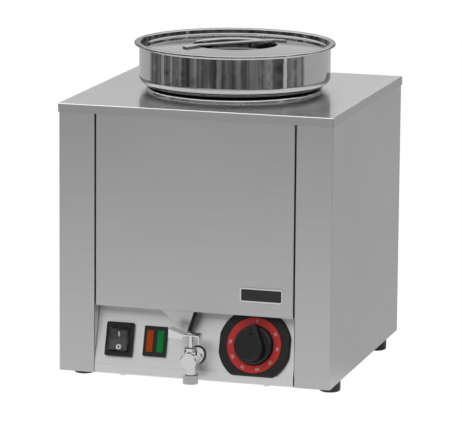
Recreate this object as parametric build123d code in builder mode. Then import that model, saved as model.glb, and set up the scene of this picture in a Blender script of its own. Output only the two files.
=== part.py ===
from build123d import *
import os
from math import cos, radians, sin, tan

os.makedirs("parts", exist_ok=True)

# Round electric bain marie: square steel casing on four feet, a round water well with a rolled rim,
# a lidded pot that hangs in it by a conical shoulder, and a sloping control panel at the front foot.
# Millimetres. Z = 0 is the surface it stands on, X runs to the right, Y to the back. The origin is
# the middle of the overall footprint, tap and cable gland included.

# Casing
CASE_W = 290.0
CASE_D = 290.0
CASE_H = 280.0
SHEET = 0.8
BEND = 1.6
COVER_GAP = 0.1
COVER_FLANGE = 9.0
COVER_EDGE_R = 0.7
COLUMN_W = 38.4
CHEEK_PAST = 6.9
REAR_RETURN = 22.0
SEAM = 1.0

# Feet
FOOT_H = 12.0
FOOT_R = 11.0
FOOT_EDGE_R = 2.0
FOOT_INSET_X = 1.0
FOOT_INSET_Y = 47.0
FOOT_STUD_R = 3.0
FOOT_BORE_DEPTH = 8.0
STUD_GAP = 0.1
FOOT_STUD_UP = 9.0
FOOT_NUT_R = 5.8
FOOT_NUT_T = 4.5

# Sloping control panel
PANEL_FLANGE = 10.0
RECESS_DEPTH = 19.1
PANEL_MARGIN = 0.35
PANEL_LIP = 20.0
PANEL_RETURN = 12.0
FRONT_RETURN = 12.0

# Base and rear panels
BASE_FLANGE = 12.0
BASE_GAP = 0.3
VENT_W = 50.0
VENT_H = 4.0
VENT_COUNT = 6
VENT_COLUMNS = 3
VENT_SPACING = 65.0
VENT_PITCH = 10.0
VENT_DROP = 80.0

# Well
SEAT_STEP = 9.9
BEAD_R = 2.2
BEAD_LEG = 1.1
UNDER_WELL = 85.0
WELL_CORNER_R = 12.0
DECK_HOLE_GAP = 0.3
CLAMP_RING_W = 9.0
CLAMP_RING_T = 1.5

# Pot
POT_R = 100.4
POT_T = 0.8
POT_BODY_STEP = 8.5
POT_CORNER_R = 10.0
POT_SHOULDER_R = 8.0
POT_NECK_R = 3.0
SEAT_ANGLE = 35.4
SEAT_GAP = 0.3
POT_CLEAR_BELOW = 28.0
LIP_Z = 49.0
LIP_W = 3.7
LIP_BEND = 3.0

# Lid
LID_T = 0.8
LID_GAP = 0.3
LID_LIFT_GAP = 0.2
LID_HEM_GAP = 0.5
LID_HEM = 2.0
LID_EDGE_DROP = 6.6
LID_CROWN_DROP = 2.4
LID_RECESS_R = 44.0
LID_RECESS_DEPTH = 12.0
LID_RECESS_TAPER = 1.5
LID_FLOOR_BEND = 3.0
LID_RECESS_BEND = 1.5
LID_EDGE_BEND = 2.0
LID_FLANGE_BEND = 1.0
LID_HEM_BEND = 0.6
HANDLE_REACH = 15.5
HANDLE_START = 1.5
HANDLE_W = 9.0
HANDLE_T = 1.5
HANDLE_RISE = 0.2
HANDLE_TURN = 44.0
HANDLE_GAP = 0.1
HANDLE_FOOT = 5.0
HANDLE_BEND = 2.0

# Heater
ELEMENT_R = 58.0
ELEMENT_TUBE_R = 4.0
ELEMENT_GAP_TURN = 16.0
ELEMENT_LEG = 24.0
ELEMENT_START = 90.0
LEG_GAP = 1.5
HEATER_GAP = 0.2
PLATE_RIM = 12.0
PLATE_T = 2.0
PLATE_STUD_R = 2.5
PLATE_STUD_CIRCLE = 38.0
PLATE_STUD_L = 17.0
PLATE_STUD_COUNT = 3
PLATE_NUT_T = 4.0
PLATE_DRAIN_GAP = 3.0
INSULATION_T = 12.0
INSULATION_GAP = 0.8
INSULATION_LOW = 17.0
INSULATION_TOP = 18.0

# Rocker switch: its frame round the cut-out, and the clear boot over the rocker
SWITCH_INSET = 10.8
SWITCH_UP = 26.3
SWITCH_RIM_W = 3.75
SWITCH_RIM_H = 3.65
SWITCH_FLANGE = 2.2
SWITCH_BODY_DEPTH = 22.0
GUARD_T = 1.8
GUARD_EDGE = 0.8
SWITCH_CORNER_R = 2.0
COVER_T = 0.8
COVER_RIM = 1.7
DOME_INSET_W = 3.25
DOME_INSET_H = 5.15
DOME_END_UP = 5.0
DOME_MID_UP = 2.0
DOME_CORNER_R = 1.0
ROCKER_INSET_W = 2.3
ROCKER_INSET_H = 2.8
ROCKER_TAPER = 1.0
ROCKER_TILT = 8.0
ROCKER_PIVOT = -1.0
ROCKER_PIN_R = 1.5
ROCKER_PIN_L = 1.0
ROCKER_END_OUT = 6.5
ROCKER_MID_OUT = 4.5
ROCKER_END_IN = 2.0
ROCKER_MID_IN = 5.0
ROCKER_LAND = 3.5
PIN_END_GAP = 0.3
PIN_GAP = 0.05
POCKET_GAP = 0.9
POCKET_DEPTH = 8.5

# Standard cut-out shared by the switch and the twin lamp
CUTOUT_W = 22.0
CUTOUT_H = 28.0
CUTOUT_GAP = 0.2

# Twin lamp
LAMP_STEP = 11.3
LAMP_UP = 26.7
LAMP_RIM_W = 1.4
LAMP_RIM_H = 1.65
LAMP_FLANGE = 2.4
LAMP_BODY_DEPTH = 15.0
LAMP_CORNER_R = 1.0
LENS_W = 6.8
LENS_H = 22.2
LENS_T = 3.0
LENS_PITCH = 11.4
LENS_GAP = 0.1
LENS_PROUD = 0.3

# Thermostat
BEZEL_INSET = 5.6
BEZEL_DROP = 1.85
BEZEL_R = 38.7
BEZEL_W = 75.0
BEZEL_H = 63.7
BEZEL_T = 4.0
BEZEL_CORNER_R = 8.0
BEZEL_EDGE_R = 2.4
DIAL_OUTER_R = 28.5
DIAL_INNER_R = 20.9
DIAL_T = 0.8
KNOB_R = 20.0
KNOB_BASE_H = 6.0
KNOB_SKIRT_R = 2.5
KNOB_H = 15.0
KNOB_GAP = 0.4
KNOB_NOSE_R = 7.2
KNOB_NOSE_REACH = 22.0
KNOB_TAIL_REACH = 18.5
KNOB_TAIL_R = 14.5
KNOB_GRIP_FROM = 1.5
KNOB_GRIP_TAPER = 8.0
KNOB_BORE_DEPTH = 10.0
KNOB_EDGE_R = 1.2
SPINDLE_R = 3.0
SPINDLE_HOLE_R = 5.0
THERMOSTAT_W = 42.0
THERMOSTAT_H = 38.0
THERMOSTAT_D = 32.0
THERMOSTAT_SCREW_PITCH = 28.0
THERMOSTAT_SCREW_R = 2.0
THERMOSTAT_SCREW_HEAD = 1.6
THERMOSTAT_SCREW_HEAD_R = 3.6
THERMOSTAT_SCREW_L = 5.5
THERMOSTAT_CORNER_R = 2.0
THERMOSTAT_GAP = 0.4
THREAD_SPARE = 0.5
BUSH_DEPTH = 10.0

# Sensor
BULB_R = 3.0
BULB_Y = 20.0
CAPILLARY_R = 0.75
CAPILLARY_BEND = 8.0
CAPILLARY_INSET = 13.0
CAPILLARY_LEAD = 10.0
CAPILLARY_HOLE_GAP = 2.0
CAPILLARY_CORNER_Y = -20.0
CLIP_W = 6.0
CLIP_T = 0.8
CLIP_BEND = 0.8

# Tap, its height taken above the casing's lower edge
TAP_SHARE = 0.6
TAP_Z = 25.8
TAP_REACH = 30.0
TAP_AXIS_REACH = 20.0
TAP_ROSE_FRONT = 7.0
TAP_ROSE_R = 8.2
TAP_TAIL_START = 1.0
TAP_NECK_R = 6.2
TAP_BARREL_R = 8.5
TAP_BARREL_START = 11.0
TAP_EDGE_R = 1.2
TAP_TAIL_R = 6.5
TAP_TAIL_L = 34.0
TAP_BORE_R = 4.0
GASKET_R = 9.2
GASKET_T = 1.2
TAP_HOLE_GAP = 0.8
LOCK_NUT_R = 11.0
LOCK_NUT_T = 5.0
SPOUT_R = 5.6
SPOUT_BOTTOM = 1.6
FERRULE_R = 7.9
FERRULE_H = 9.0
BONNET_R = 6.9
BONNET_UP = 9.2
PLUG_R = 5.2
PLUG_LOW = 8.0
PLUG_HIGH = 7.0
PLUG_PORT_R = 3.2
GLAND_NUT_R = 6.4
GLAND_NUT_T = 3.5
STEM_R = 2.6
STEM_PAST = 0.4
LEVER_UP = 13.9
LEVER_T = 1.2
LEVER_W = 13.0
LEVER_RIGHT = 10.0
LEVER_FLAT = 6.0
LEVER_LEFT = 22.0
LEVER_RISE = 18.0
LEVER_FLANGE = 8.5
LEVER_STOP = 9.0
LEVER_NUT_R = 5.0
LEVER_NUT_T = 1.4
LEVER_BEND = 1.2
LEVER_HEEL = 1.5
LEVER_OPEN = 4.0

# Drain hose from the well to the tap
DRAIN_Y = -30.0
SPIGOT_L = 22.0
SPIGOT_WALL = 1.5
HOSE_WALL = 2.0
HOSE_GAP = 0.1
HOSE_BEND = 24.0
HOSE_CLAMP_T = 1.0
HOSE_CLAMP_W = 8.0
HOSE_LAP = 14.0
CLAMP_SET = 10.5

# Badge, bare
BADGE_INSET = 34.4
BADGE_Z = 93.3
BADGE_W = 45.4
BADGE_H = 15.0
BADGE_T = 1.2
BADGE_BORDER = 1.5
BADGE_CORNER_R = 2.5
INLAY_T = 0.6
INLAY_SET = 0.1

# Tongue over the tap, from the lower edge of the front panel, placed to the left of the tap's axis
TONGUE_FROM = 38.1
TONGUE_TO = 3.1
TONGUE_TIP_AT = 10.8
TONGUE_TIP_Z = 47.3
TONGUE_STRIP_T = 1.2
TONGUE_STRIP_DEPTH = 12.0
TONGUE_TAB = 8.0
TONGUE_TAB_W = 24.0

# Electrical inlet and wiring parts, heights above the casing's lower edge
INLET_INSET = 50.0
GLAND_Z = 40.0
GLAND_REACH = 15.0
GLAND_HEX_R = 12.0
GLAND_HEX_T = 5.0
GLAND_DOME_R = 9.5
GLAND_THREAD_R = 8.0
GLAND_THREAD_L = 10.0
GLAND_BORE_R = 4.2
GLAND_EDGE_R = 3.0
GLAND_NUT_OUTER_R = 12.0
GLAND_BACK_NUT_T = 4.0
EARTH_R = 2.5
EARTH_OUT = 12.0
EARTH_NUT_R = 4.6
EARTH_NUT_T = 4.0
BLOCK_X = -60.0
BLOCK_Y = 85.0
BLOCK_W = 50.0
BLOCK_D = 20.0
BLOCK_H = 17.0
BLOCK_WAYS = 5
BLOCK_HOLE_R = 2.2
BLOCK_HOLE_DEPTH = 5.0
SAFETY_R = 8.5
SAFETY_H = 10.0
SAFETY_X = -36.0
BLADE_W = 6.3
BLADE_T = 0.8
BLADE_L = 8.0
SWITCH_BLADE_PITCH = 8.0
SWITCH_BLADES = 3

# Screws
REAR_SCREW_R = 2.0
REAR_SCREW_HEAD_R = 3.6
REAR_SCREW_HEAD_T = 2.0
REAR_SCREW_INSET = 30.0
REAR_SCREW_L = 5.0
SCREW_GAP = 0.1
BOTTOM_SCREW_INSET = 29.6
BOTTOM_SCREW_HEAD_R = 3.0
BOTTOM_SCREW_HEAD_T = 1.5
BOTTOM_SCREW_L = 6.0

# Places worked out from the sizes
CASE_Y = (TAP_REACH - GLAND_REACH) / 2
FRONT = CASE_Y - CASE_D / 2
BACK = CASE_Y + CASE_D / 2
LOW = FOOT_H
DECK = FOOT_H + CASE_H
UNDER_DECK = DECK - SHEET - COVER_GAP
BASE_LOW = LOW + SHEET
BASE_TOP = BASE_LOW + SHEET
COLUMN_IN = CASE_W / 2 - COLUMN_W
CHEEK_DEPTH = RECESS_DEPTH + CHEEK_PAST
SLOPE_L = BEZEL_H + 2 * PANEL_MARGIN
SLOPE_RISE = (SLOPE_L**2 - RECESS_DEPTH**2) ** 0.5
RECESS_H = PANEL_FLANGE + SLOPE_RISE
PANEL_SLOPE = RECESS_DEPTH / SLOPE_RISE
SLOPE_COS = 1 / (1 + PANEL_SLOPE**2) ** 0.5
SLOPE_SIN = PANEL_SLOPE * SLOPE_COS
FOOT_X = CASE_W / 2 - FOOT_R - FOOT_INSET_X
FOOT_Y = CASE_D / 2 - FOOT_INSET_Y
RING_R = POT_R - SEAT_STEP
POT_BODY_R = RING_R - POT_BODY_STEP
LIP_R = POT_R + LIP_W
WELL_OUTER_R = RING_R - BEAD_R + SHEET
WELL_DEPTH = CASE_H - UNDER_WELL
WELL_FLOOR = DECK - WELL_DEPTH
BEAD_Z = DECK + BEAD_LEG
POT_FLOOR = WELL_FLOOR + SHEET + POT_CLEAR_BELOW
ELEMENT_Z = WELL_FLOOR - HEATER_GAP - ELEMENT_TUBE_R
PLATE_TOP = ELEMENT_Z - ELEMENT_TUBE_R - HEATER_GAP
PLATE_LOW = PLATE_TOP - PLATE_T
ELEMENT_ARC = 360 - ELEMENT_GAP_TURN
CAPILLARY_X = ELEMENT_R - CAPILLARY_INSET
BULB_L = 2 * (CAPILLARY_X - CAPILLARY_LEAD)
TAP_HEIGHT = LOW + TAP_Z
TAP_Y = FRONT - TAP_AXIS_REACH
GLAND_X = INLET_INSET - CASE_W / 2
EARTH_X = -GLAND_X
REAR_SCREW_Z = (REAR_SCREW_INSET, CASE_H / 2, CASE_H - REAR_SCREW_INSET)

# The controls from left to right, each placed on the panel as x and height up the slope
SWITCH_W = CUTOUT_W + 2 * SWITCH_RIM_W
SWITCH_H = CUTOUT_H + 2 * SWITCH_RIM_H
SWITCH_AT = (-COLUMN_IN + SWITCH_INSET + SWITCH_W / 2, SWITCH_UP)
LAMP_W = CUTOUT_W + 2 * LAMP_RIM_W
LAMP_H = CUTOUT_H + 2 * LAMP_RIM_H
LAMP_AT = (SWITCH_AT[0] + SWITCH_W / 2 + LAMP_STEP + LAMP_W / 2, LAMP_UP)
DIAL_AT = (COLUMN_IN - BEZEL_INSET - BEZEL_W / 2, BEZEL_H / 2 - BEZEL_DROP)
LAMP_EDGE = LAMP_AT[0] + LAMP_W / 2
BEZEL_EDGE_X = DIAL_AT[0] - BEZEL_W / 2
TAP_X = LAMP_EDGE + TAP_SHARE * (BEZEL_EDGE_X - LAMP_EDGE)

MID = Plane((0, CASE_Y, 0), x_dir=(1, 0, 0), z_dir=(0, -1, 0))
WELL_AXIS = Axis((0, CASE_Y, 0), (0, 0, 1))
PANEL = Plane((0, FRONT, LOW + PANEL_FLANGE), x_dir=(1, 0, 0), z_dir=(0, -SLOPE_COS, SLOPE_SIN))
OUT = Axis(PANEL.origin, PANEL.z_dir)


def level(z):
    """Horizontal plane at height z, centred on the casing."""
    return Plane((0, CASE_Y, z))


def facing_front(y, x=0.0, z=0.0):
    """Vertical plane at depth y that looks to the front, with its own x and z centre."""
    return Plane((x, y, z), x_dir=(1, 0, 0), z_dir=(0, -1, 0))


def facing_back(y, x=0.0, z=0.0):
    """Vertical plane at depth y that looks to the back."""
    return Plane((x, y, z), x_dir=(-1, 0, 0), z_dir=(0, 1, 0))


def on_panel(at, proud=0.0):
    """Plane on the sloping panel at a place, raised along its normal."""
    origin = PANEL.origin + PANEL.x_dir * at[0] + PANEL.y_dir * at[1] + PANEL.z_dir * proud
    return Plane(origin, x_dir=PANEL.x_dir, z_dir=PANEL.z_dir)


def panel_y(z):
    """Depth of the panel's outer face at a height."""
    return FRONT + (z - LOW - PANEL_FLANGE) * PANEL_SLOPE


def strip(plane, points, radius, thickness):
    """Section of a folded sheet along a centre line with rounded corners."""
    with BuildSketch(plane) as section:
        with BuildLine():
            FilletPolyline(*points, radius=radius)
        trace(line_width=thickness)
    return section.sketch


def save(piece, name):
    """Label a finished piece and write it to its own file."""
    piece.part.label = name
    export_step(piece.part, f"parts/{name}.step")


# Top cover: a flat deck with four down-turned flanges and the hole for the well
COVER_HALF_W = CASE_W / 2 + COVER_GAP + SHEET
COVER_HALF_D = CASE_D / 2 + COVER_GAP + SHEET
COVER_HOLE_R = WELL_OUTER_R + DECK_HOLE_GAP
with BuildPart() as top_cover:
    with BuildSketch(level(DECK)):
        Rectangle(2 * COVER_HALF_W, 2 * COVER_HALF_D)
    extrude(amount=-COVER_FLANGE)
    fillet(top_cover.edges().filter_by(Axis.Z), radius=BEND)
    fillet(top_cover.faces().sort_by(Axis.Z)[-1].edges(), radius=COVER_EDGE_R)
    with BuildSketch(level(DECK - SHEET)):
        RectangleRounded(2 * (COVER_HALF_W - SHEET), 2 * (COVER_HALF_D - SHEET), BEND - SHEET)
    extrude(amount=-COVER_FLANGE, mode=Mode.SUBTRACT)
    with BuildSketch(level(DECK)):
        Circle(COVER_HOLE_R)
    extrude(amount=-COVER_FLANGE, mode=Mode.SUBTRACT)
save(top_cover, "top_cover")

# Side panels: each wraps round to the front as a column with an inner cheek, and round to the back
SIDE_H = UNDER_DECK - LOW
CHEEK_X = COLUMN_IN + SHEET / 2
SIDE_X = CASE_W / 2 - SHEET / 2
REAR_SCREW_X = CASE_W / 2 - REAR_RETURN / 2


def side_panel(side):
    """One side panel, side -1 for the left one and 1 for the right one."""
    path = [
        (side * CHEEK_X, FRONT + CHEEK_DEPTH),
        (side * CHEEK_X, FRONT + SHEET / 2),
        (side * SIDE_X, FRONT + SHEET / 2),
        (side * SIDE_X, BACK - SHEET / 2),
        (side * (CASE_W / 2 - REAR_RETURN), BACK - SHEET / 2),
    ]
    with BuildPart() as panel:
        extrude(strip(Plane.XY.offset(LOW), path, BEND, SHEET), amount=SIDE_H)
        with BuildSketch(facing_back(BACK, x=side * REAR_SCREW_X, z=LOW)):
            with Locations(*[(0, z) for z in REAR_SCREW_Z]):
                Circle(REAR_SCREW_R + SCREW_GAP)
        extrude(amount=-2 * SHEET, mode=Mode.SUBTRACT)
    return panel


save(side_panel(-1), "left_side_panel")
save(side_panel(1), "right_side_panel")

# Front panel: a face between the columns with side and bottom returns
FRONT_HALF_W = COLUMN_IN - SEAM
FRONT_LOW = LOW + RECESS_H
with BuildPart() as front_panel:
    tray = [
        (-FRONT_HALF_W + SHEET / 2, FRONT + FRONT_RETURN),
        (-FRONT_HALF_W + SHEET / 2, FRONT + SHEET / 2),
        (FRONT_HALF_W - SHEET / 2, FRONT + SHEET / 2),
        (FRONT_HALF_W - SHEET / 2, FRONT + FRONT_RETURN),
    ]
    extrude(strip(Plane.XY.offset(FRONT_LOW), tray, BEND, SHEET), amount=UNDER_DECK - FRONT_LOW)
    bottom_depth = RECESS_DEPTH - 2 * SHEET
    with BuildSketch(Plane.XY.offset(FRONT_LOW)):
        with Locations((0, FRONT + SHEET / 2 + bottom_depth / 2)):
            Rectangle(2 * (FRONT_HALF_W - BEND), bottom_depth)
    extrude(amount=SHEET)
save(front_panel, "front_panel")

# Control panel: bottom return, short upright flange, slope, and a lip behind the front panel
PANEL_HALF_W = COLUMN_IN - BASE_GAP
LIP_LOW = FRONT_LOW + 2 * SHEET
LIP_Y = panel_y(LIP_LOW) + SHEET / 2 / SLOPE_COS
FLANGE_TOP = LOW + PANEL_FLANGE - SHEET / 2 * (1 / SLOPE_COS - 1) / PANEL_SLOPE
CONTROL_PATH = [
    (FRONT + PANEL_RETURN, LOW + SHEET / 2),
    (FRONT + SHEET / 2, LOW + SHEET / 2),
    (FRONT + SHEET / 2, FLANGE_TOP),
    (LIP_Y, LIP_LOW),
    (LIP_Y, LIP_LOW + PANEL_LIP),
]
BOTTOM_SCREW_X = COLUMN_IN - BOTTOM_SCREW_INSET
BOTTOM_SPOTS = [(side * BOTTOM_SCREW_X, FRONT + PANEL_RETURN / 2) for side in (-1, 1)]
LEFT_OF_PANEL = Plane((-PANEL_HALF_W, 0, 0), x_dir=(0, 1, 0), z_dir=(1, 0, 0))
with BuildPart() as control_panel:
    extrude(strip(LEFT_OF_PANEL, CONTROL_PATH, BEND / 2, SHEET), amount=2 * PANEL_HALF_W)
    with BuildSketch(on_panel((0, 0), proud=SHEET)):
        with Locations(SWITCH_AT, LAMP_AT):
            Rectangle(CUTOUT_W, CUTOUT_H)
        with Locations(DIAL_AT):
            Circle(SPINDLE_HOLE_R)
            with Locations((-THERMOSTAT_SCREW_PITCH / 2, 0), (THERMOSTAT_SCREW_PITCH / 2, 0)):
                Circle(THERMOSTAT_SCREW_R + SCREW_GAP)
    extrude(amount=-4 * SHEET, mode=Mode.SUBTRACT)
    with BuildSketch(facing_front(FRONT, x=TAP_X, z=TAP_HEIGHT)):
        Circle(TAP_TAIL_R + TAP_HOLE_GAP)
    extrude(amount=-RECESS_DEPTH, mode=Mode.SUBTRACT)
    with BuildSketch(Plane.XY.offset(LOW)):
        with Locations(*BOTTOM_SPOTS):
            Circle(REAR_SCREW_R + SCREW_GAP)
    extrude(amount=2 * SHEET, mode=Mode.SUBTRACT)
save(control_panel, "control_panel")

# Base plate: a shallow tray that stands on the control panel's bottom return
BASE_HALF_W = CASE_W / 2 - SHEET - BASE_GAP
BASE_FRONT = FRONT + SHEET + BEND
BASE_BACK = BACK - 2 * SHEET - COVER_GAP - BASE_GAP
BASE_MID = (BASE_FRONT + BASE_BACK) / 2
FOOT_SPOTS = {
    "front_left": (-FOOT_X, -FOOT_Y),
    "front_right": (FOOT_X, -FOOT_Y),
    "rear_left": (-FOOT_X, FOOT_Y),
    "rear_right": (FOOT_X, FOOT_Y),
}
with BuildPart() as base_plate:
    with BuildSketch(Plane((0, BASE_MID, BASE_LOW))):
        Rectangle(2 * BASE_HALF_W, BASE_BACK - BASE_FRONT)
    extrude(amount=SHEET)
    with BuildSketch(Plane((0, FRONT, BASE_LOW))):
        for side in (-1, 1):
            with Locations((side * CHEEK_X, 0)):
                Rectangle(SHEET + 2 * BASE_GAP, 2 * (CHEEK_DEPTH + BASE_GAP))
    extrude(amount=SHEET, mode=Mode.SUBTRACT)
    flange_l = BASE_BACK - BASE_FRONT
    with BuildSketch(Plane((0, BASE_MID, BASE_LOW))):
        for side in (-1, 1):
            with Locations((side * (BASE_HALF_W - SHEET / 2), 0)):
                Rectangle(SHEET, flange_l)
        with Locations((0, flange_l / 2 - SHEET / 2)):
            Rectangle(2 * BASE_HALF_W, SHEET)
    extrude(amount=BASE_FLANGE)
    with BuildSketch(level(BASE_LOW)):
        with Locations(*FOOT_SPOTS.values()):
            Circle(FOOT_STUD_R + STUD_GAP)
    extrude(amount=SHEET, mode=Mode.SUBTRACT)
    with BuildSketch(Plane.XY.offset(BASE_LOW)):
        with Locations(*BOTTOM_SPOTS):
            Circle(REAR_SCREW_R + SCREW_GAP)
    extrude(amount=SHEET, mode=Mode.SUBTRACT)
save(base_plate, "base_plate")

# Rear panel: lies inside the side panels' returns, with vents and the inlet holes
REAR_FACE = BACK - SHEET - COVER_GAP
REAR_LOW = BASE_TOP + BASE_GAP
with BuildPart() as rear_panel:
    with BuildSketch(facing_back(REAR_FACE, z=(REAR_LOW + UNDER_DECK) / 2)):
        Rectangle(2 * (BASE_HALF_W - BEND), UNDER_DECK - REAR_LOW)
    extrude(amount=-SHEET)
    with BuildSketch(facing_back(REAR_FACE, z=LOW)):
        for side in (-1, 1):
            with Locations(*[(side * REAR_SCREW_X, z) for z in REAR_SCREW_Z]):
                Circle(REAR_SCREW_R + SCREW_GAP)
        with Locations((-GLAND_X, GLAND_Z)):
            Circle(GLAND_THREAD_R + SCREW_GAP)
        with Locations((-EARTH_X, GLAND_Z)):
            Circle(EARTH_R + SCREW_GAP)
        with Locations((0, CASE_H - VENT_DROP)):
            with GridLocations(VENT_SPACING, VENT_PITCH, VENT_COLUMNS, VENT_COUNT):
                SlotOverall(VENT_W, VENT_H)
    extrude(amount=-SHEET, mode=Mode.SUBTRACT)
save(rear_panel, "rear_panel")

# Feet: rubber cylinders with a rounded lower edge and a blind hole for the stud
FOOT_TOP = BASE_LOW
for spot, place in FOOT_SPOTS.items():
    with BuildPart() as foot:
        with BuildSketch(Plane((place[0], CASE_Y + place[1], 0))):
            Circle(FOOT_R)
        extrude(amount=FOOT_TOP)
        fillet(foot.faces().sort_by(Axis.Z)[0].edges(), radius=FOOT_EDGE_R)
        with BuildSketch(Plane((place[0], CASE_Y + place[1], FOOT_TOP))):
            Circle(FOOT_STUD_R + STUD_GAP)
        extrude(amount=-FOOT_BORE_DEPTH, mode=Mode.SUBTRACT)
    save(foot, f"foot_{spot}")

# Foot studs with their nuts on the base plate
with BuildPart() as foot_studs:
    with BuildSketch(level(FOOT_TOP - FOOT_BORE_DEPTH + STUD_GAP)):
        with Locations(*FOOT_SPOTS.values()):
            Circle(FOOT_STUD_R)
    extrude(amount=BASE_TOP + FOOT_STUD_UP - FOOT_TOP + FOOT_BORE_DEPTH)
    with BuildSketch(level(BASE_TOP)):
        with Locations(*FOOT_SPOTS.values()):
            RegularPolygon(FOOT_NUT_R, 6)
    extrude(amount=FOOT_NUT_T)
save(foot_studs, "foot_studs")

# Screws: six through the rear returns and two up through the bottom return
with BuildPart() as rear_screws:
    spots = [(side * REAR_SCREW_X, z) for side in (-1, 1) for z in REAR_SCREW_Z]
    with BuildSketch(facing_back(BACK, z=LOW)):
        with Locations(*spots):
            Circle(REAR_SCREW_HEAD_R)
    extrude(amount=REAR_SCREW_HEAD_T)
    fillet(rear_screws.faces().group_by(Axis.Y)[-1].edges(), radius=REAR_SCREW_HEAD_T / 3)
    with BuildSketch(facing_back(BACK, z=LOW)):
        with Locations(*spots):
            Circle(REAR_SCREW_R)
    extrude(amount=-REAR_SCREW_L)
save(rear_screws, "rear_screws")

with BuildPart() as bottom_screws:
    with BuildSketch(Plane.XY.offset(LOW)):
        with Locations(*BOTTOM_SPOTS):
            Circle(BOTTOM_SCREW_HEAD_R)
    extrude(amount=-BOTTOM_SCREW_HEAD_T)
    with BuildSketch(Plane.XY.offset(LOW)):
        with Locations(*BOTTOM_SPOTS):
            Circle(REAR_SCREW_R)
    extrude(amount=BOTTOM_SCREW_L)
save(bottom_screws, "bottom_screws")

# Well: a deep drawn bowl whose rim rolls outwards and stands on the deck, with a drain spigot below
BEAD_LEG_R = RING_R + BEAD_R - SHEET / 2
SPIGOT_R = TAP_TAIL_R
with BuildPart() as well:
    with BuildSketch(MID):
        with BuildLine():
            FilletPolyline(
                (0, WELL_FLOOR + SHEET / 2),
                (WELL_OUTER_R - SHEET / 2, WELL_FLOOR + SHEET / 2),
                (WELL_OUTER_R - SHEET / 2, BEAD_Z),
                radius=WELL_CORNER_R,
            )
        trace(line_width=SHEET)
    revolve(axis=WELL_AXIS)
    with BuildSketch(MID):
        with BuildLine():
            CenterArc((RING_R, BEAD_Z), BEAD_R - SHEET / 2, 0, 180)
            Line((BEAD_LEG_R, BEAD_Z), (BEAD_LEG_R, DECK))
        trace(line_width=SHEET)
    revolve(axis=WELL_AXIS)
    with BuildSketch(Plane((TAP_X, CASE_Y + DRAIN_Y, WELL_FLOOR + SHEET))):
        Circle(SPIGOT_R)
    extrude(amount=-SPIGOT_L - SHEET)
    with BuildSketch(Plane((TAP_X, CASE_Y + DRAIN_Y, WELL_FLOOR + SHEET))):
        Circle(SPIGOT_R - SPIGOT_WALL)
    extrude(amount=-SPIGOT_L - SHEET, mode=Mode.SUBTRACT)
save(well, "well")

# Clamp ring that holds the well up against the deck
with BuildPart() as well_clamp_ring:
    with BuildSketch(level(DECK - SHEET)):
        Circle(COVER_HOLE_R + CLAMP_RING_W)
        Circle(COVER_HOLE_R, mode=Mode.SUBTRACT)
    extrude(amount=-CLAMP_RING_T)
save(well_clamp_ring, "well_clamp_ring")

# Insulation blanket round the well's wall
with BuildPart() as insulation_blanket:
    with BuildSketch(level(DECK - INSULATION_TOP)):
        Circle(WELL_OUTER_R + INSULATION_GAP + INSULATION_T)
        Circle(WELL_OUTER_R + INSULATION_GAP, mode=Mode.SUBTRACT)
    extrude(amount=INSULATION_TOP + INSULATION_LOW - WELL_DEPTH)
save(insulation_blanket, "insulation_blanket")

# Pot: straight wall, conical shoulder that seats inside the rolled rim, narrower body below
SEAT_TAN = tan(radians(SEAT_ANGLE))
SEAT_OFFSET = BEAD_R + SEAT_GAP + POT_T / 2
SEAT_R = RING_R - SEAT_OFFSET * sin(radians(SEAT_ANGLE))
SEAT_Z = BEAD_Z + SEAT_OFFSET * cos(radians(SEAT_ANGLE))
POT_WALL_MID = POT_R - POT_T / 2
POT_BODY_MID = POT_BODY_R - POT_T / 2
with BuildPart() as pot:
    with BuildSketch(MID):
        with BuildLine():
            FilletPolyline(
                (0, POT_FLOOR + POT_T / 2),
                (POT_BODY_MID, POT_FLOOR + POT_T / 2),
                (POT_BODY_MID, SEAT_Z + (POT_BODY_MID - SEAT_R) * SEAT_TAN),
                (POT_WALL_MID, SEAT_Z + (POT_WALL_MID - SEAT_R) * SEAT_TAN),
                (POT_WALL_MID, DECK + LIP_Z),
                (LIP_R, DECK + LIP_Z),
                radius=[POT_CORNER_R, POT_NECK_R, POT_SHOULDER_R, LIP_BEND],
            )
        trace(line_width=POT_T)
    revolve(axis=WELL_AXIS)
save(pot, "pot")

# Lid: flange over the pot's lip with a turned-down hem, short wall, low crown and a finger recess
LID_FLANGE_MID = DECK + LIP_Z + POT_T / 2 + LID_LIFT_GAP + LID_T / 2
LID_TOP = LID_FLANGE_MID + LID_T / 2
LID_WALL_MID = POT_R - POT_T - LID_GAP - LID_T / 2
LID_EDGE_Z = LID_TOP - LID_EDGE_DROP
LID_CROWN_Z = LID_TOP - LID_CROWN_DROP
LID_HEM_MID = LIP_R + LID_HEM_GAP + LID_T / 2
with BuildPart() as lid:
    with BuildSketch(MID):
        with BuildLine():
            FilletPolyline(
                (0, LID_CROWN_Z - LID_RECESS_DEPTH),
                (LID_RECESS_R - LID_RECESS_TAPER, LID_CROWN_Z - LID_RECESS_DEPTH),
                (LID_RECESS_R, LID_CROWN_Z),
                (LID_WALL_MID, LID_EDGE_Z),
                (LID_WALL_MID, LID_FLANGE_MID),
                (LID_HEM_MID, LID_FLANGE_MID),
                (LID_HEM_MID, LID_TOP - LID_HEM),
                radius=[LID_FLOOR_BEND, LID_RECESS_BEND, LID_EDGE_BEND, LID_FLANGE_BEND, LID_HEM_BEND],
            )
        trace(line_width=LID_T)
    revolve(axis=WELL_AXIS)
save(lid, "lid")

# Lid handle: a flat strap across the recess, its ends lying on the crown
CROWN_FALL = (LID_CROWN_Z - LID_EDGE_Z) / (LID_WALL_MID - LID_RECESS_R)


def crown_top(r):
    """Height of the lid's upper face at a radius on the crown."""
    return LID_CROWN_Z - (r - LID_RECESS_R) * CROWN_FALL + LID_T / 2


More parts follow.
